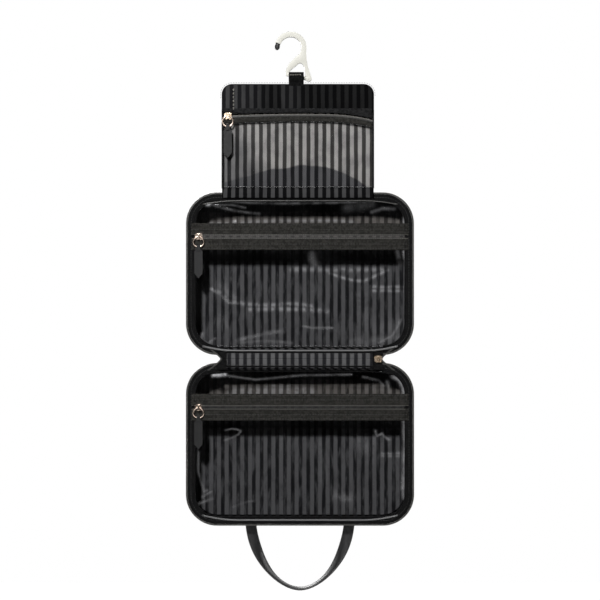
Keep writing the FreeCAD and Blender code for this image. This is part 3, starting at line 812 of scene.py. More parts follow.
class BAG_OT_hook(bpy.types.Operator):
    """Round the rims of the moulded hook and fit its cap"""
    bl_idname = "bag.hook"
    bl_label = "Hook"

    # The angles between which the crook is bent, from where it is straight up over to its tip.
    BENT = (1.9, 4.2)

    def execute(self, context):
        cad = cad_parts["hook"]
        hook = bpy.data.objects.new("moulded_hook", cad.data.copy())
        context.scene.collection.objects.link(hook)
        for thing in context.selected_objects:
            thing.select_set(False)
        hook.select_set(True)
        context.view_layer.objects.active = hook
        weld = hook.modifiers.new("weld", "WELD")
        weld.merge_threshold = 0.00001
        bevel = hook.modifiers.new("rim", "BEVEL")
        bevel.width, bevel.segments, bevel.limit_method = 0.0015, 4, "ANGLE"
        bevel.angle_limit = math.radians(50)
        for modifier in ("weld", "rim"):
            bpy.ops.object.modifier_apply(modifier=modifier)
        hook.data.polygons.foreach_set("use_smooth", [True] * len(hook.data.polygons))
        self.curl(hook)
        stand_in(hook, "hook_plastic", "hook", "hook")
        self.cap()
        return {"FINISHED"}

    def shift(self, angle):
        """The crook ends a little earlier than half a turn: its tip points down and outwards."""
        return angle - 0.22 * max(0.0, (angle - self.BENT[0]) / 1.3)

    def curl(self, hook):
        """Bend the crook's end of the solid's mesh."""
        for vertex in hook.data.vertices:
            x, z = vertex.co.x, vertex.co.z
            radius, angle = math.hypot(x, z), math.atan2(z, x) % (2 * math.pi)
            if self.BENT[0] < angle < self.BENT[1] and radius < 0.021:
                angle = self.shift(angle)
                vertex.co.x, vertex.co.z = radius * math.cos(angle), radius * math.sin(angle)

    def cap(self):
        """The rubber cap, egg-shaped over the crook's end."""
        low, high = span("hook_tip", "z")
        left, right = span("hook_tip", "x")
        radius = -(left + right) / 2
        at = [self.shift(math.atan2(z, -radius) % (2 * math.pi)) for z in (high, low)]
        turn = np.linspace(at[0] - 0.06, at[1] + 0.08, 15)
        path = row_of(radius * np.cos(turn), 0, radius * np.sin(turn))
        side = row_of(np.cos(turn), 0, np.sin(turn))
        _, depth = straight(15)
        share = np.linspace(-1, 1, 15)
        swell = np.sqrt(np.clip(1 - np.abs(share) ** 3.2, 0.03, 1))[:, None]
        section = disc((right - left) / 2, 16)
        cap = tube("tip_cap", path, side * swell, depth * swell, section, closed=False)
        stand_in(cap, "tip_rubber", "hook", "hook_tip")


class BAG_OT_webbing(bpy.types.Operator):
    """Make the webbing loop that hangs the pouch from the hook's bar"""
    bl_idname = "bag.webbing"
    bl_label = "Webbing loop"

    def execute(self, context):
        left, right = span("hook_loop", "x")
        left -= 1.8
        low, high = span("hook_loop", "z")
        radius = span("hook_loop", "y")[1] - 1.3
        middle = high - radius - 2.0
        end = span("pouch_back", "z")[1] - 4
        near, wide = 0.75, 1.6
        turn = np.radians(np.linspace(-52, 232, 33))
        ring = [(radius * math.cos(t), middle + radius * math.sin(t)) for t in turn]
        rear = [(near, end), (near, low - 2.4), (wide, low - 0.4)]
        front = [(-y, z) for y, z in reversed(rear)]
        y, z = np.array(rear + ring + front)[::-1].T
        points = row_of(np.linspace(left, right, 13)[None, :], y[:, None], z[:, None])
        loop = sheet("webbing_loop", points, 1.25)
        stand_in(loop, "webbing", None, "hook_loop", "loop_tab")
        bend(loop, "hook_loop", "pouch", (left + right) / 2, low - 0.5, low - 3.0)
        # Pale stitches across the loop's top paint the highlight where the webbing bends over the bar.
        row = row_of(np.linspace(left + 0.8, right - 0.8, 6), -radius - 0.55, middle + 2.0)
        stand_in(stitches("loop_painted_highlight", row, 2.0, 1.7, 1.7), "coil_thread", "hook_loop")
        return {"FINISHED"}


def pouch_grid(levels, columns):
    """A grid that fills the pouch's outline, whose top corners are round, over the levels."""
    over = np.clip(levels - (POUCH_TOP - POUCH_CORNER), 0, POUCH_CORNER)
    low, high = span("pouch_edge", "x")
    wide = (high - low) / 2 - POUCH_CORNER
    wide = wide + np.sqrt(np.maximum(POUCH_CORNER ** 2 - over ** 2, 0)) - 1.0
    across = np.linspace(-1, 1, columns)[None, :]
    x = POUCH_MIDDLE + wide[:, None] * across
    return x, np.broadcast_to(levels[:, None], x.shape), across


def pouch_levels(end, count):
    """Levels from the pouch's top down to an end, closer together where its corners turn."""
    round_the_corner = POUCH_TOP - 1.2 - 11 * (1 - np.cos(np.linspace(0, math.pi / 2, 9)))
    return np.concatenate([round_the_corner, np.linspace(POUCH_TOP - 13.4, end, count)])


def header_share(z):
    """How far down the header a level is, from 0 at its top to 1."""
    return (POUCH_TOP - z) / (POUCH_TOP - HEADER_END)


def swelling(share, across):
    """How full the pouch is at a share of its height, most in its middle and low at its sides."""
    return np.sin(np.pi * share ** (1.15 + 2.6 * across ** 2.4)) * (1 - across ** 5)


def pouch_zip_sag(x):
    """How far the pouch's zip lies above its straight line: it bows up and droops to the right."""
    left, right = span("pouch_zip_chain", "x")
    share = np.clip((x - left) / (right - left), 0, 1)
    return 2.4 * np.sin(math.pi * share) ** 0.8 - 4.6 * np.clip((share - 0.72) / 0.28, 0, 1) ** 2


class BAG_OT_pouch(bpy.types.Operator):
    """Make the pouch: header, back, lining, bindings, zip and its clear window"""
    bl_idname = "bag.pouch"
    bl_label = "Pouch"

    def execute(self, context):
        sizes = context.scene.bag_sizes
        self.header()
        self.piping()
        self.fold_stitches()
        self.back()
        self.window(sizes.pouch_bulge / MM)
        self.zip(sizes.tooth_pitch / MM)
        self.bindings()
        return {"FINISHED"}

    def header_surface(self, z, across):
        """How far back the header is at a level and a share of its width, and how much it puffs."""
        share = np.clip(header_share(z), 0, 1)
        puff = np.sin(np.pi * share) * (1 - np.abs(across) ** 8)
        return -1.5 - (abs(POUCH_FRONT) - 1.0) * share - 0.9 * puff, puff

    def header(self):
        """The padded header."""
        x, z, across = pouch_grid(pouch_levels(HEADER_END - 1.6, 14), 73)
        y, puff = self.header_surface(z, across)
        y = y - 0.25 * waves(x, z, 34, 3) * puff
        stand_in(sheet("header", row_of(x, y, z), 0.8), "header_stripe", "pouch", "header_panel")

    def fold_stitches(self):
        """The row of stitches down the header's left end."""
        inset = 14.0
        z = np.linspace(HEADER_END + 1.0, POUCH_TOP - 4.0, 24)
        y, _ = self.header_surface(z, 1 - inset / POUCH_REACH)
        seam = row_of(POUCH_LEFT + inset, y - 0.45, z)
        stand_in(stitches("header_fold_stitches", seam, 4.4, 3.0, 2.0), "coil_thread", "pouch")

    def piping(self):
        """The piping round the header and the stitches along it."""
        turn = np.radians(np.linspace(180, 90, 13))
        radius = 10.5
        side = [(POUCH_LEFT + 1.5, z) for z in np.linspace(HEADER_END, POUCH_TOP - 12.2, 12)]
        arch = [
            (POUCH_LEFT + POUCH_CORNER + radius * x, POUCH_TOP - POUCH_CORNER + radius * z)
            for x, z in zip(np.cos(turn), np.sin(turn))
        ]
        over = [(x, POUCH_TOP - 1.5) for x in np.linspace(POUCH_LEFT + 15, POUCH_MIDDLE, 30)]
        line = side + arch + over
        line += [(2 * POUCH_MIDDLE - x, z) for x, z in reversed(line[:-1])]
        x, z = np.array(line).T
        path = row_of(x, 0, z)
        ahead = np.gradient(path, axis=0)
        ahead /= np.linalg.norm(ahead, axis=1, keepdims=True)
        _, depth = straight(len(path))
        inwards = np.cross(ahead, depth)
        edge = tube("pouch_piping", path, -inwards, depth, disc(1.55, 12), closed=False)
        stand_in(edge, "binding", "pouch", "pouch_edge")
        inset = (path + inwards * 2.6)[8:-8]
        inset[:, 1] = -1.9 - 2.6 * np.clip(header_share(inset[:, 2]), 0, 1)
        stand_in(stitches("header_stitches", inset, 3.0, 2.0, 0.4), "stitch", "pouch")

    def back(self):
        """The pouch's back and the lining seen through its window."""
        x, z, across = pouch_grid(pouch_levels(POUCH_BOTTOM + 0.2, 34), 73)
        inside = np.minimum(1 - np.abs(across), (z - POUCH_BOTTOM) / POUCH_REACH)
        bow = (0.4 + 0.2 * waves(x, z, 50, 8)) * np.clip(inside * 8, 0, 1)
        back = sheet("pouch_back_panel", row_of(x, 0.72 + bow, z), 0.7)
        stand_in(back, "reverse", "pouch", "pouch_back")

        top = HEADER_END + 8
        x = np.linspace(POUCH_LEFT + 1.2, POUCH_RIGHT - 1.2, 90)[None, :]
        z = np.linspace(top, POUCH_BOTTOM + 0.6, 40)[:, None]
        x, z = np.broadcast_arrays(x, z)
        share = (top - z) / (top - 1 - POUCH_BOTTOM)
        swell = swelling(share, np.abs(x - POUCH_MIDDLE) / POUCH_REACH)
        y = 0.15 - 2.6 * swell + 0.3 * waves(x, z, 38, 11)
        lining = sheet("pouch_back_lining", row_of(x, y, z), 0.3)
        stand_in(lining, "pouch_lining", "pouch", "pouch_lining")

    def window(self, most):
        """The clear front, which stands out by up to so many millimetres."""
        left, right = span("pouch_window", "x")
        top = span("pouch_zip_tape_bottom", "z")[0] + 2.0
        x, share = np.broadcast_arrays(
            np.linspace(left, right, 110)[None, :], np.linspace(0, 1, 76)[:, None],
        )
        z = top + share * (POUCH_BOTTOM + 0.4 - top) + pouch_zip_sag(x) * (1 - share)
        across = np.abs((x - (left + right) / 2) / ((right - left) / 2))
        edge = np.clip(np.minimum(share, 1 - share) * 9, 0, 1) * np.clip((1 - across) * 14, 0, 1)
        y = POUCH_FRONT - most * swelling(share, across)
        y -= edge * (0.22 * waves(x, z, 34, 21) + 0.05 * waves(x, z, 12, 22))
        pane = sheet("pouch_clear_window", row_of(x, y, z), 0.35)
        stand_in(pane, "pouch_vinyl", "pouch", "pouch_window")

    def zip(self, pitch):
        """The zip's two tapes and coils, and the hem over it."""
        left, right = span("pouch_window", "x")
        tape_low = span("pouch_zip_tape_bottom", "z")[0]
        chain_low, chain_high = span("pouch_zip_chain", "z")
        hem_low, hem_high = span("pouch_hem", "z")
        columns = np.linspace(left, right, 80)
        sag = pouch_zip_sag(columns)

        fixed = hem_high + 3.4
        droop = 2.7 * np.clip((columns - left - 12) / 8, 0, 1)
        share = np.linspace(0, 1, 7)[:, None]
        z = fixed + (hem_low - 0.3 - droop + sag - fixed)[None, :] * share
        y = POUCH_FRONT - 1.0 - 0.5 * np.sin(math.pi * share)
        hem = sheet("pouch_hem_fold", row_of(columns[None, :], y, z), 0.5)
        stand_in(hem, "hem", "pouch", "pouch_hem")
        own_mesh(hem)

        for name, high, low, level, rows, node in (
            ("upper", hem_high, chain_high - 1.2, POUCH_FRONT - 0.1, 4, "pouch_zip_tape_top"),
            ("lower", chain_low + 2.2, tape_low + 1.6, POUCH_FRONT - 0.25, 7, "pouch_zip_tape_bottom"),
        ):
            z = np.linspace(high, low, rows)[:, None] + sag[None, :]
            y = level - np.sin(np.linspace(0, math.pi, rows))[:, None] * 0.2
            tape = sheet("pouch_tape_" + name, row_of(columns[None, :], y, z), 0.5)
            stand_in(tape, "zip_tape", "pouch", node)

        middle = (chain_low + chain_high) / 2
        for name, offset, long, slot, nodes in (
            ("upper", -0.2, 0.9, "coil_thread", ["pouch_zip_chain"]),
            ("lower", -1.5, 1.7, "zip_chain", []),
        ):
            path = row_of(columns, POUCH_FRONT - 0.2, middle + offset + sag)
            coil = teeth("pouch_coil_" + name, path, *straight(80), pitch, long, 1.5)
            stand_in(coil, slot, "pouch", *nodes)
        seam = row_of(columns, POUCH_FRONT - 0.35, tape_low + 1.0 + sag)
        stand_in(stitches("pouch_zip_stitches", seam), "stitch", "pouch")

    def bindings(self):
        """The bindings down the pouch's two sides."""
        levels = np.linspace(HEADER_END + 2.0, POUCH_BOTTOM - 0.5, 40)
        section = slab(-1.3, 1.25, POUCH_FRONT - 0.15, 1.6, 0.9)
        for name, edge, way, nodes in (
            ("left", POUCH_LEFT, 1, ["pouch_binding"]), ("right", POUCH_RIGHT, -1, []),
        ):
            path = row_of(edge + way * 1.3, 0, levels)
            side_and_depth = straight(40, (1.0, 0.0, 0.0))
            binding = tube("pouch_binding_" + name, path, *side_and_depth, section, closed=False)
            stand_in(binding, "binding", "pouch", *nodes)
            seam = path + (0.3 * way, POUCH_FRONT - 0.2, 0)
            stand_in(stitches("pouch_stitches_" + name, seam, 3.0, 2.0, 0.35), "stitch", "pouch")


class BAG_OT_flap(bpy.types.Operator):
    """Make the flap of striped fabric between the pouch and the upper half"""
    bl_idname = "bag.flap"
    bl_label = "Hanging flap"

    def execute(self, context):
        left, right = span("hanging_flap", "x")
        low, high = span("hanging_flap", "z")
        near = span("hanging_flap", "y")[0]
        x = np.linspace(left + 0.4, right - 0.4, 80)[None, :]
        z = np.linspace(high + 5.0, low - 0.6, 24)[:, None]
        y = near - 0.3 - 0.5 * np.clip((high - z) / 6, 0, 1) + 0.25 * waves(x, z, 26, 31)
        y = y + 1.1 * np.clip((z - high + 0.8) / 1.6, 0, 1)
        flap = sheet("flap", row_of(x, y, z), 0.8)
        stand_in(flap, "satin_stripe", None, "hanging_flap")
        bend(flap, "pouch", "upper_case", (left + right) / 2, high - 1, low + 1)
        return {"FINISHED"}


# The lists below are counted from a point this far below each half's middle.
DROP = {"upper": 4.0, "lower": 1.5}

# Folds of the back lining, with painted glints where they catch the light: a line of points (right, up)
# in millimetres, then width, height and how strong its painted glint is.
FOLDS = {
    "upper": [
        ([(-108, 63.5), (-60, 63.0)], 1.6, 0.4, 0.7),
        ([(-82, 66), (-20, 67.5), (40, 68), (66, 66)], 1.3, 0.4, 0.55),
        ([(-10, 9), (4, 9.5), (22, 9.5), (34, 8.5), (50, 9.2), (98, 9.5)], 1.7, 0.5, 0.6),
        ([(36, 5), (50, 0), (64, -3.5), (76, -4.2), (86, 0), (104, 9)], 1.1, 0.5, 0.95),
        ([(84, -10.5), (100, -11.5), (122, -11.0)], 1.2, 0.5, 0.8),
        ([(86, -15.5), (100, -15.5), (122, -16.0)], 1.2, 0.5, 0.8),
        ([(-68, -31.5), (-40, -33), (-6, -31.5), (14, -34)], 1.5, 0.6, 0.75),
        ([(-60, -38), (-30, -37.5), (6, -38), (32, -40)], 1.7, 0.6, 0.8),
        ([(-104, -14), (-94, -18), (-84, -28), (-70, -30)], 1.5, 0.6, 0.5),
        ([(-92, -10), (-84, -20), (-76, -26)], 3.0, 0.6, 0.3),
        ([(-100, -58), (-92, -44), (-86, -58)], 3.0, 0.4, 0.16),
        ([(72, -24), (78, -52)], 5.0, 0.4, 0.14),
        ([(86, -62), (104, -60), (118, -56)], 6.0, 0.4, 0.18),
    ],
    "lower": [
        ([(-80, 63), (-40, 63.5), (-10, 64), (14, 63)], 2.6, 0.5, 0.5),
        ([(-40, 67.5), (-16, 68), (-12, 68)], 1.6, 0.4, 0.4),
        ([(-84, 59.5), (-40, 60), (16, 60.5)], 1.8, 0.4, 0.55),
        ([(66, 66), (100, 65)], 3.0, 0.4, 0.14),
        ([(98, -12.5), (122, -12.0)], 1.1, 0.5, 0.7),
        ([(98, -15.5), (122, -15.5)], 1.0, 0.5, 0.5),
        ([(70, 14), (74, 0), (82, -8)], 5.5, 0.5, 0.16),
        ([(88, 10), (84, -22)], 3.0, 0.4, 0.16),
        ([(26, -2), (28, -44)], 4.0, 0.4, 0.1),
        ([(-18, 18), (-22, -4)], 4.0, 0.4, 0.1),
        ([(44, -60), (54, -63), (62, -63)], 3.0, 0.4, 0.15),
    ],
}

# How long and how high a tooth of the main zip is.
MAIN_TOOTH = (2.3, 1.7)

# The windows' two cords in each half: name, direction, how far the ends turn in, radius, how far
# inside the half's edge, material, and the ending of the node they stand for. The pale materials,
# welt on the bottom cords and coil on the upper top one, paint the highlight along a cord; the
# lower top cord keeps the dark binding.
WELTS = {
    "upper": [
        ("top", 1, 4.2, 0.6, 4.5, "coil", ["_welts"]),
        ("bottom", -1, 5.6, 1.3, -0.6, "welt", []),
    ],
    "lower": [
        ("top", 1, 4.2, 0.6, 4.5, "binding", ["_welts"]),
        ("bottom", -1, 5.6, 1.15, 1.4, "welt", []),
    ],
}

# Creases of the vinyl: as the folds, with how strong the painted glare along them is.
CREASES = {
    "upper": [
        ([(-108.5, 86.0), (-106.5, 85.8)], 1.5, 0.3, 0.75),
        ([(-106, 86), (-92, 81), (-70, 76.5), (-48, 74)], 0.9, 0.3, 0.08),
        ([(-98, 88), (-84, 89), (-60, 87), (-20, 86), (40, 87), (86, 88)], 0.9, 0.3, 0.07),
        ([(-98, 84), (-80, 84.5), (-64, 81)], 0.8, 0.3, 0.07),
        ([(54, 81), (68, 82), (84, 86)], 3.4, 0.3, 0.03),
        ([(84, 76), (96, 80), (110, 80)], 1.2, 0.3, 0.08),
        ([(122, 69), (122.3, 60)], 1.0, 0.3, 0.45),
        ([(121.6, 30), (124, 12), (126.4, -22), (127.5, -46)], 1.1, 0.3, 0.3),
        ([(114, 30), (117.5, 14)], 1.6, 0.3, 0.06),
        ([(13.5, 26), (14.5, 20), (17, 14)], 3.0, 0.3, 0.06),
        ([(-74, -74), (-60, -71), (-42, -67), (-20, -63)], 1.6, 0.4, 0.12),
        ([(-74, -77), (-40, -74.5), (-10, -77)], 1.2, 0.4, 0.06),
        ([(4, -57.5), (14, -59.5), (38, -59.5)], 0.9, 0.3, 0.14),
        ([(-114, -66), (-116, -75), (-108, -78), (-99, -72)], 1.0, 0.3, 0.14),
        ([(92, -77), (108, -69), (118, -50)], 1.2, 0.3, 0.12),
        ([(-104, -14), (-92, -22), (-84, -30), (-72, -31)], 0.9, 0.3, 0.14),
        ([(60, -76), (90, -74), (116, -72)], 3.5, 0.3, 0.05),
    ],
    "lower": [
        ([(-101, 82.2), (-88, 82.6)], 1.3, 0.3, 0.8),
        ([(-88, 82), (-70, 79.5), (-52, 77), (-30, 79), (0, 82), (60, 83)], 0.8, 0.3, 0.1),
        ([(74, 80), (92, 76), (98, 70)], 0.9, 0.3, 0.1),
        ([(108, 81), (116, 77), (120.5, 68), (121.5, 58)], 1.5, 0.3, 0.28),
        ([(102, 74), (104, 62)], 1.4, 0.3, 0.08),
        ([(-87, 18), (-80, 19.5), (-74, 19), (-69, 17), (-72, 13), (-80, 9), (-88, 6)], 0.6, 0.3, 0.12),
        ([(88, 17), (90, 11), (96, 14), (98, 11), (104, 7)], 0.8, 0.3, 0.22),
        ([(121.5, 33), (122.5, 0), (120, -50)], 1.5, 0.3, 0.26),
        ([(119.5, -50), (121, -62)], 1.0, 0.3, 0.16),
        ([(-113, 34), (-118, 20), (-119, -30), (-112, -54), (-108, -52)], 0.8, 0.3, 0.1),
        ([(-114, -60), (-104, -54)], 0.8, 0.3, 0.12),
        ([(-118, -68), (-102, -62)], 1.0, 0.3, 0.12),
        ([(-78, -72), (-66, -67), (-52, -64)], 0.9, 0.3, 0.05),
        ([(42, -60), (52, -62), (62, -62)], 3.2, 0.4, 0.07),
    ],
}


def from_drop(half, x, z):
    """A grid's coordinates as FOLDS and CREASES count them."""
    return x - BAG_MIDDLE, z - half_middle(half) + DROP[half]


class BAG_OT_halves(bpy.types.Operator):
    """Make the two case halves: walls, back, linings, windows, zips and piping"""
    bl_idname = "bag.halves"
    bl_label = "Case halves"

    def execute(self, context):
        sizes = context.scene.bag_sizes
        pitch = sizes.tooth_pitch / MM
        for half in HALVES:
            self.walls(half, sizes.wall_puff / MM)
            self.back(half)
            self.lining(half)
            self.main_zip(half, pitch)
            self.welts(half)
            self.windows(half, sizes.window_wave / MM)
            self.band(half, pitch)
        return {"FINISHED"}

    def walls(self, half, puff):
        """The padded wall and its lining."""
        body = half + "_case"
        path, side, depth = outline(half)
        deep = BACK - 0.9 - FRONT
        bowed = [
            (puff * math.sin(math.pi * s) - 0.5 * max(0.0, 1 - 15 * min(s, 1 - s)), deep * s)
            for s in np.linspace(0, 1, 15)
        ]
        section = [(-2.3, 0.0), (-1.0, -0.05), *bowed, (-1.0, deep), (-2.3, deep)]
        gusset = tube(half + "_wall", path, side, depth, np.array(section) + (0, FRONT))
        stand_in(gusset, "side_stripe", body, half + "_gusset")
        stiff = span(half + "_back_lining", "y")[0]
        section = [(-3.2, FRONT + 0.3), (-2.4, FRONT + 0.3), (-2.4, stiff), (-3.0, stiff)]
        lining = tube(half + "_wall_lining", path, side, depth, section)
        stand_in(lining, "wall_lining", body, half + "_gusset_lining")

    def back(self, half):
        """The outer back panel and its piping."""
        body, near_edge = half + "_case", 16
        top = half_middle(half) + HALF_HEIGHT / 2
        bottom = top - HALF_HEIGHT
        near, far = span(half + "_back_panel", "y")
        x, z = pane_grid(half, 0.3, top - 0.3, bottom + 0.3, 70, 60)
        to_side = half_widths(z, half, 0) - np.abs(x - BAG_MIDDLE)
        to_edge = np.minimum(to_side, np.minimum(top - z, z - bottom))
        edge = np.clip(to_edge / near_edge, 0, 1)
        bow = (1 - (1 - edge) ** 2) * (1.5 + 0.3 * waves(x, z, 70, 41))
        panel = sheet(half + "_back", row_of(x, near + 0.1 + bow, z), 0.7)
        stand_in(panel, "reverse", body, half + "_back_panel")
        path, side, depth = outline(half)
        line = path + side * 0.5 + depth * (far - 0.6)
        ring = tube(half + "_back_welt", line, side, depth, disc(1.4, 12))
        stand_in(ring, "binding", body, half + "_back_piping")

    def lining(self, half):
        """The lining of the back, with its folds and the painted glints on them."""
        top = half_middle(half) + HALF_HEIGHT / 2
        near = span(half + "_back_lining", "y")[0]
        x, z = pane_grid(half, 3.0, top - 3.0, top - HALF_HEIGHT + 3.0, 190, 130)
        seed = 51 + 7 * HALVES.index(half)
        y = near - 0.9 + 0.75 * waves(x, z, 46, seed) + 0.14 * waves(x, z, 12, seed + 1)
        # shine holds the strength of the painted highlight along each fold.
        shine = np.zeros(x.shape)
        for line, wide, high, strength in FOLDS[half]:
            rise = ridge(*from_drop(half, x, z), line, wide, 1.0)
            y -= high * rise
            shine = np.maximum(shine, strength * rise)
        lining = mark(sheet(half + "_back_cloth", row_of(x, y, z), 0.3), "glint", shine)
        stand_in(lining, "lining", half + "_case", half + "_back_lining")

    def main_zip(self, half, pitch):
        """The long zip's tape and its open coil round the edge."""
        body = half + "_case"
        gap = HALF_WIDTH - 2 * HALF_CORNER
        side_of_case = span(half + "_gusset", "x")[1]
        near = span(half + "_main_zip_tape", "y")[0]
        tape_in, tape_out = 4.6, span(half + "_main_zip_tape", "x")[1] - side_of_case
        path, side, depth = outline(half, gap=gap, step=2.5)
        upper = [
            (-tape_in + (tape_in + tape_out) * s, near - 0.35 * math.sin(math.pi * s))
            for s in np.linspace(0, 1, 9)
        ]
        lower = [(across, deep + 0.55) for across, deep in reversed(upper)]
        tape = tube(half + "_main_tape", path, side, depth, upper + lower, closed=False)
        stand_in(tape, "main_tape", body, half + "_main_zip_tape")

        coil_out = span(half + "_main_zip_chain", "x")[1] - side_of_case - 0.9
        coil_level = sum(span(half + "_main_zip_chain", "y")) / 2
        row = path + side * coil_out + depth * coil_level
        coil = teeth(half + "_main_coil", row, side, depth, pitch, *MAIN_TOOTH)
        stand_in(coil, "coil", body, half + "_main_zip_chain")
        core = tube(half + "_main_core", row, side, depth, disc(0.75, 6), closed=False)
        stand_in(core, "zip_chain", body)
        seam = path + side * -0.6 + depth * (near - 0.42)
        stand_in(stitches(half + "_main_stitches", seam, 3.2, 2.2, 0.4), "stitch", body)
        line = path + side * (-tape_in - 0.5) + depth * (near + 0.25)
        bead = tube(half + "_bead", line, side, depth, disc(0.95, 8), closed=False)
        stand_in(bead, "binding", body)

    def welts(self, half):
        """The cords along the windows' top and bottom edges, which turn in at their ends."""
        near = span(half + "_main_zip_tape", "y")[0]
        columns = np.linspace(-114.0, 114.0, 90)
        turn = np.clip((np.abs(columns) - 72) / 42, 0, 1) ** 2
        for name, way, rise, wide, inset, slot, nodes in WELTS[half]:
            level = half_middle(half) + way * (HALF_HEIGHT / 2 - inset - turn * rise)
            path = row_of(columns + BAG_MIDDLE, near - 1.2, level)
            welt = tube(
                half + "_welt_" + name, path, *straight(90), disc(wide, 8), closed=False,
            )
            stand_in(welt, slot, half + "_case", *(half + node for node in nodes))

    def windows(self, half, wave):
        """The two clear windows, with waves of that height, the vinyl's creases and the painted glare
        along them.
        """
        level, inset, near_edge = span(half + "_window_top", "y")[0] - 0.1, 4.7, 9
        for part, rows in (("top", 40), ("bottom", 130)):
            node = f"{half}_window_{part}"
            low, high = span(node, "z")
            x, z = pane_grid(half, inset, high, low, 200, rows)
            to_side = half_widths(z, half, inset) - np.abs(x - BAG_MIDDLE)
            to_edge = np.minimum(to_side, np.minimum(high - z, z - low))
            inside = np.clip(to_edge / near_edge, 0, 1)
            inside = inside ** 2 * (3 - 2 * inside)
            seed = 60 + 10 * HALVES.index(half) + rows
            uneven = 1.6 * waves(x, z, 60, seed) + 0.7 * waves(x, z, 22, seed + 1)
            y = level - inside * wave * uneven
            # The mark holds the strength of the painted glare along each crease.
            haze_and_glare = np.zeros(x.shape)
            for line, wide, tall, strength in CREASES[half]:
                rise = ridge(*from_drop(half, x, z), line, wide, 1.0)
                y -= inside ** 0.5 * tall * rise
                haze_and_glare = np.maximum(haze_and_glare, strength * rise)
            pane = mark(sheet(f"{half}_clear_{part}", row_of(x, y, z), 0.3), "haze_and_glare", haze_and_glare)
            stand_in(pane, "vinyl", half + "_case", node)

    def band(self, half, pitch):
        """The pocket zip across the window."""
        body = half + "_case"
        low, high = span(half + "_zip_tape_top", "x")
        middle = sum(span(half + "_zip_chain", "z")) / 2
        near = span(half + "_zip_tape_top", "y")[0]
        columns = np.linspace(low, high, 100)
        for name, way in (("top", 1), ("bottom", -1)):
            node = f"{half}_zip_tape_{name}"
            edge = span(node, "z")[1 if way > 0 else 0]
            start = middle + way * 1.7
            share = np.linspace(0, 1, 12)[:, None]
            x, z = np.broadcast_arrays(columns[None, :], start + (edge - start) * share)
            rise = 0.5 * np.exp(-((share - 0.16) / 0.09) ** 2) + 0.15 * waves(x, z, 40, 77)
            y = near + 0.1 - rise - 0.3 * np.clip((share - 0.9) * 10, 0, 1)
            points = row_of(x, y, z)[::-way]
            stand_in(sheet(f"{half}_band_{name}", points, 0.5), "zip_tape", body, node)
            for percent in (50, 86):
                level = start + (edge - start) * percent / 100
                seam = row_of(columns, near - 0.05, level)
                stand_in(stitches(f"{half}_band_stitches_{name}_{percent}", seam), "stitch", body)
        for name, way, nodes in (("upper", 1, [half + "_zip_chain"]), ("lower", -1, [])):
            path = row_of(columns, near + 0.05, middle + way * 1.55)
            coil = teeth(f"{half}_band_coil_{name}", path[2:-2], *straight(96), pitch, 2.6, 1.3)
            stand_in(coil, "zip_chain", body, *nodes)
            seam = path + (0, -0.7, way * 0.55)
            thread = stitches(f"{half}_coil_stitches_{name}", seam, 2.1, 1.3, 0.55)
            stand_in(thread, "coil_thread", body)


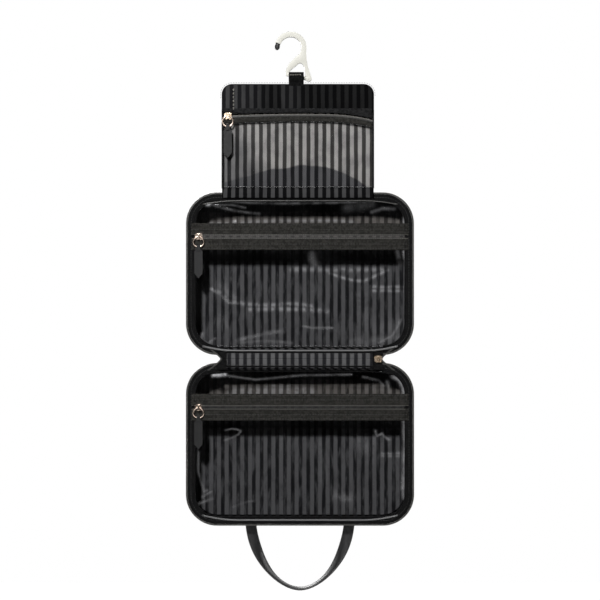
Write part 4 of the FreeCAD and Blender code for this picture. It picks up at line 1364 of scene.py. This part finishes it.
class BAG_OT_spine(bpy.types.Operator):
    """Make the striped fabric that joins the halves"""
    bl_idname = "bag.spine"
    bl_label = "Spine"

    def execute(self, context):
        left, right = span("spine_strip", "x")
        low, high = span("spine_strip", "z")
        front, rear = span("spine_strip", "y")[0], span("spine_cover", "y")[1]
        # Each fold's name, direction, two bodies, and two heights.
        self.folds = (
            ("upper", 1, "upper_case", "spine", high + 0.9, high - 2.0),
            ("lower", -1, "spine", "lower_case", low + 2.0, low - 0.9),
        )
        self.cloth(left, right, low, high, front, rear)
        self.ends(left, right, low, high, rear)
        self.trims(left, right, low, high, front)
        return {"FINISHED"}

    def cloth(self, left, right, low, high, front, rear):
        """The inner and outer faces, each in an upper and a lower part."""
        middle, over = (low + high) / 2, 1.2
        x = np.linspace(left, right, 90)[None, :]
        for name, way, *fold in self.folds:
            start, end = (high + over, middle) if way > 0 else (middle, low - over)
            for face, slot, level, out, node in (
                ("front", "spine_stripe", front, -1, "spine_strip"),
                ("back", "reverse", rear - 0.8, 1, "spine_cover"),
            ):
                z = np.linspace(start, end, 12)[:, None]
                share = np.clip((high - z) / (high - low), 0, 1)
                puff = np.clip(np.sin(np.pi * share), 0, 1) ** 0.7
                y = level + out * 0.7 * puff + out * 0.2 * puff * waves(x, z, 24, 91)
                strip = sheet(f"spine_{face}_{name}", row_of(x, y, z), 0.8)
                stand_in(strip, slot, None, *([node] if way > 0 else []))
                bend(strip, fold[0], fold[1], BAG_MIDDLE, *fold[2:])

    def ends(self, left, right, low, high, rear):
        """The main zip's two ends beside the spine: its tape narrows to a notch between the halves."""
        middle, reach = (low + high) / 2, (high - low) / 2 + 3.5
        for side, way, notch, start in (
            ("left", -1, span("spine_cover", "x")[0] + 4.4, left + 1),
            ("right", 1, right + 9.5, right - 1),
        ):
            for name, up, *fold in self.folds:
                off = np.linspace(0, reach, 14)[::-up]
                edge = notch + way * 15.0 * (off / reach) ** 1.25
                first, last = (edge[:, None], start) if way < 0 else (start, edge[:, None])
                x = first + (last - first) * np.linspace(0, 1, 10)[None, :]
                z = middle + up * off
                ear = sheet(f"zip_end_{side}_{name}", row_of(x, rear - 0.75, z[:, None]), 0.5)
                path = row_of(edge, rear - 0.6, z)
                coil = teeth(
                    f"zip_end_coil_{side}_{name}", path, *straight(14, (1.0, 0.0, 0.0)), 1.45,
                    *MAIN_TOOTH,
                )
                for thing, slot in ((ear, "main_tape"), (coil, "coil")):
                    stand_in(thing, slot, None)
                    bend(thing, fold[0], fold[1], BAG_MIDDLE, *fold[2:])

    def trims(self, left, right, low, high, front):
        """The cords and the stitches along the spine's two edges."""
        levels = {"upper": (high - 1.4, 1.3), "lower": (low + 0.9, 0.9)}
        for name, _, *fold in self.folds:
            level, wide = levels[name]
            path = row_of(np.linspace(left, right, 30), front - 0.4, level)
            cord = tube(
                "spine_piping_" + name, path, *straight(30), disc(wide, 10), closed=False,
            )
            stand_in(cord, "binding", None)
            bend(cord, fold[0], fold[1], BAG_MIDDLE, *fold[2:])
        columns = np.linspace(left + 1, right - 1, 60)
        for name, level in (("upper", high - 3.6), ("lower", low + 2.6)):
            seam = row_of(columns, front - 0.35, level)
            stand_in(stitches("spine_stitches_" + name, seam, 3.2, 2.4, 0.5), "stitch", "spine")


class BAG_OT_handle(bpy.types.Operator):
    """Make the strap handle that turns edge-on at its lowest point, and its tabs"""
    bl_idname = "bag.handle"
    bl_label = "Handle"

    def execute(self, context):
        near, far = span("handle_strap", "y")
        wide, thick, level = (far - near) / 2 - 0.7, 1.25, (near + far) / 2
        path = self.course(wide, thick, level)
        ahead = np.gradient(path, axis=0)
        ahead[0] = (0, 0, -1)
        ahead[-1] = (0, 0, 1)
        ahead /= np.linalg.norm(ahead, axis=1, keepdims=True)
        _, deep = straight(len(path))
        flat = np.cross(ahead, deep)
        fall = np.sin(np.linspace(0, math.pi, len(path)))
        twist = (math.pi / 2 * np.sin(math.pi / 2 * fall ** 1.75))[:, None]
        face = flat * np.cos(twist) + deep * np.sin(twist)
        edge = deep * np.cos(twist) - flat * np.sin(twist)
        section = slab(-wide, wide, -thick, thick, 0.7)
        strap = tube("strap", path, face, edge, section, closed=False)
        stand_in(strap, "strap_leather", "handle", "handle_strap")
        for side, way in (("inner", -1), ("outer", 1)):
            for surface, out in (("front", -1), ("back", 1)):
                line = path + face * way * (wide - 1.6) + edge * out * (thick + 0.02)
                name = f"strap_stitches_{side}_{surface}"
                stand_in(self.thread(name, line[3:-3], edge[3:-3] * out), "stitch", "handle")
        for name in ("left", "right"):
            self.tab("handle_tab_" + name, level)
        return {"FINISHED"}

    def course(self, wide, thick, level):
        """The strap's middle line: down from the left tab, round and up to the right one."""
        left, right = span("handle_strap", "x")
        low, high = span("handle_strap", "z")
        reach, hang = (right - left) / 2 - wide, high - 1.3
        turn = np.linspace(0, math.pi, 97)
        fall = np.sin(turn)
        across = np.sign(-np.cos(turn)) * np.maximum(1 - fall ** 1.7, 0) ** 0.53
        return row_of((left + right) / 2 + reach * across, level, hang - (hang - low - thick) * fall)

    def tab(self, node, level):
        """A leather tab at one end of the strap."""
        (left, right), (near, far), (low, high) = (span(node, axis) for axis in "xyz")
        path = row_of(np.linspace(left, right, 20), level, high)
        section = slab(low - high, 0.3, near - level, far - level, 0.5)
        tab = tube(node + "_leather", path, *straight(20), section, closed=False)
        stand_in(tab, "strap_leather", "lower_case", node)

    def thread(self, name, line, out):
        """Stitches that follow the strap's twist, 2.3 mm long and one each 3.4 mm."""
        length = lengths(line)
        starts = np.arange(1.5, length[-1] - 3, 3.4)
        first, last = (read_at(starts + add, length, line) for add in (0, 2.3))
        points, faces = [], []
        for start, end, up in zip(first, last, read_at(starts, length, out)):
            across = np.cross((end - start) / np.linalg.norm(end - start), up) * 0.22
            base = len(points)
            for spot in (start, end):
                points += [spot - across, spot + up * 0.22, spot + across, spot - up * 0.1]
            faces += [
                [base + i, base + 4 + i, base + 4 + (i + 1) % 4, base + (i + 1) % 4]
                for i in range(4)
            ]
            faces += [[base + 3, base + 2, base + 1, base], [base + 4, base + 5, base + 6, base + 7]]
        return make_mesh(name, points, faces)


def seen_directly(paint, glossy=1.0):
    """1 for the rays that come from the camera, a mirror or a clear window, and 0 for the others."""
    rays = paint.node("ShaderNodeLightPath")
    mirrored = Value(paint, rays.outputs["Is Glossy Ray"]) * glossy
    seen = mirrored + rays.outputs["Is Camera Ray"] + rays.outputs["Is Transmission Ray"]
    return seen.step(0.0, 1.0)


def shown_white(paint, dim, lit):
    """The shader that lights the bag, and the one that is seen in its place."""
    return paint.node("ShaderNodeMixShader", None, seen_directly(paint), dim, lit).outputs[0]


def upright(place, aim):
    """The rotation that points a lamp or camera from a place at another, upright."""
    return (Vector(aim) - Vector(place)).to_track_quat("-Z", "Y").to_euler()


class BAG_OT_stage(bpy.types.Operator):
    """Set up the floor, backdrop, lamps and camera"""
    bl_idname = "bag.stage"
    bl_label = "Stage"

    # Edges of the set in metres: its sides, its front, its back, the floor and the backdrop's top.
    SIDE, NEAR, FAR, FLOOR, TOP = 14, -1.5, 3.2, -1.2, 5.0

    def execute(self, context):
        scene, stage = context.scene, context.scene.bag_stage
        scene.view_settings.view_transform = "Standard"
        self.backdrop()
        self.floor()
        scene.world = self.room(stage.room)
        # Each lamp's place, the height it aims at, its size in metres and its power in watts.
        self.lamp("key", (-0.42, -1.75, 0.68), -0.26, (0.18, 0.18), stage.key_power)
        self.lamp("softbox", (-0.15, -1.85, 1.05), -0.2, (1.5, 1.2), 16.0, diffuse=False)
        self.lamp("rim", (1.6, 0.6, 0.3), -0.3, (0.6, 1.2), 6.0)
        self.lamp("back", (-0.5, 1.9, 0.5), -0.3, (0.8, 0.8), 30.0)
        scene.camera = self.camera(stage.distance)
        return {"FINISHED"}

    def plane(self, name, corners, material):
        """A flat part of the set."""
        thing = make_mesh(name, np.array(corners) / MM, [[0, 1, 2, 3]], smooth=False)
        thing.data.materials.append(material)

    def backdrop(self):
        """The white wall behind the bag."""
        paint = Paint("studio_paper")
        white = paint.node("ShaderNodeEmission", None, WHITE, 1.0).outputs[0]
        matt = paint.surface((0.8, 0.8, 0.8), 0.9)
        self.plane("backdrop", [
            (-self.SIDE, self.FAR, self.FLOOR), (self.SIDE, self.FAR, self.FLOOR),
            (self.SIDE, self.FAR, self.TOP), (-self.SIDE, self.FAR, self.TOP),
        ], paint.finish(shown_white(paint, matt, white)))

    def floor(self):
        """The floor, white where it is seen but dim as a source of light."""
        paint = Paint("studio_floor")
        dim = paint.surface((0.15, 0.15, 0.15), 0.9)
        matt = paint.surface((0.82, 0.82, 0.82), 0.8)
        glow = paint.node("ShaderNodeEmission", None, WHITE, 0.92).outputs[0]
        lit = paint.node("ShaderNodeAddShader", None, matt, glow).outputs[0]
        self.plane("floor", [
            (-self.SIDE, self.NEAR, self.FLOOR), (self.SIDE, self.NEAR, self.FLOOR),
            (self.SIDE, self.FAR, self.FLOOR), (-self.SIDE, self.FAR, self.FLOOR),
        ], paint.finish(shown_white(paint, dim, lit)))

    def room(self, strength):
        """Soft light, mostly from above and behind; white where the room itself is seen."""
        paint = Paint("studio", "worlds")
        _, direction = paint.place("Generated")
        share = direction[2].step(-0.15, 0.9) * (0.3 + 0.7 * direction[1].step(-0.7, 0.3))
        colour = paint.mix(share, (0.1, 0.1, 0.103), WHITE)
        sky = paint.node("ShaderNodeBackground", None, colour, strength).outputs[0]
        white = paint.node("ShaderNodeBackground", None, WHITE, 1.0).outputs[0]
        seen = seen_directly(paint, direction[1].step(0.0, 0.2))
        both = paint.node("ShaderNodeMixShader", None, seen, sky, white).outputs[0]
        return paint.finish(both, "ShaderNodeOutputWorld")

    def lamp(self, name, place, level, size, power, diffuse=True):
        """An area lamp that isn't seen itself; without diffuse it only makes highlights."""
        data = bpy.data.lights.new(name, "AREA")
        data.shape, data.size, data.size_y, data.energy = "RECTANGLE", *size, power
        thing = bpy.data.objects.new(name, data)
        bpy.context.scene.collection.objects.link(thing)
        thing.location = place
        thing.rotation_euler = upright(place, (0.011, 0.0, level))
        thing.visible_diffuse, thing.visible_camera = diffuse, False

    def camera(self, distance):
        """The camera, which looks at the bag's middle from a little below it."""
        frame_width, sensor = 0.702, 36.0
        data = bpy.data.cameras.new("camera")
        camera = bpy.data.objects.new("camera", data)
        bpy.context.scene.collection.objects.link(camera)
        data.sensor_width = sensor
        data.lens = sensor * distance / frame_width
        data.clip_start, data.clip_end = 0.05, 30.0
        aim = (BAG_MIDDLE * MM, FRONT * MM, -0.295)
        camera.location = (aim[0], aim[1] - distance, -0.307)
        camera.rotation_euler = upright(camera.location, aim)
        return camera


STEPS = (
    BAG_OT_materials, BAG_OT_hook, BAG_OT_webbing, BAG_OT_pouch, BAG_OT_flap, BAG_OT_halves, BAG_OT_spine,
    BAG_OT_handle, BAG_OT_stage,
)


class BAG_PT_panel(bpy.types.Panel):
    """The bag's settings and its steps"""
    bl_idname = "BAG_PT_panel"
    bl_label = "Hanging toiletry bag"
    bl_space_type = "VIEW_3D"
    bl_region_type = "UI"
    bl_category = "Toiletry Bag"

    def draw(self, context):
        layout = self.layout
        for group in (context.scene.bag_sizes, context.scene.bag_colours, context.scene.bag_stage):
            box = layout.box()
            for name in group.__annotations__:
                box.prop(group, name)
        for step in STEPS:
            layout.operator(step.bl_idname)


CLASSES = (BagSizes, BagColours, BagStage, *STEPS, BAG_PT_panel)


def register():
    for item in CLASSES:
        bpy.utils.register_class(item)
    bpy.types.Scene.bag_sizes = PointerProperty(type=BagSizes)
    bpy.types.Scene.bag_colours = PointerProperty(type=BagColours)
    bpy.types.Scene.bag_stage = PointerProperty(type=BagStage)


def unregister():
    for name in ("bag_stage", "bag_colours", "bag_sizes"):
        delattr(bpy.types.Scene, name)
    for item in reversed(CLASSES):
        bpy.utils.unregister_class(item)


def main():
    register()
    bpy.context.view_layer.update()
    for step in STEPS:
        module, name = step.bl_idname.split(".")
        getattr(getattr(bpy.ops, module), name)()


if __name__ == "__main__":
    main()
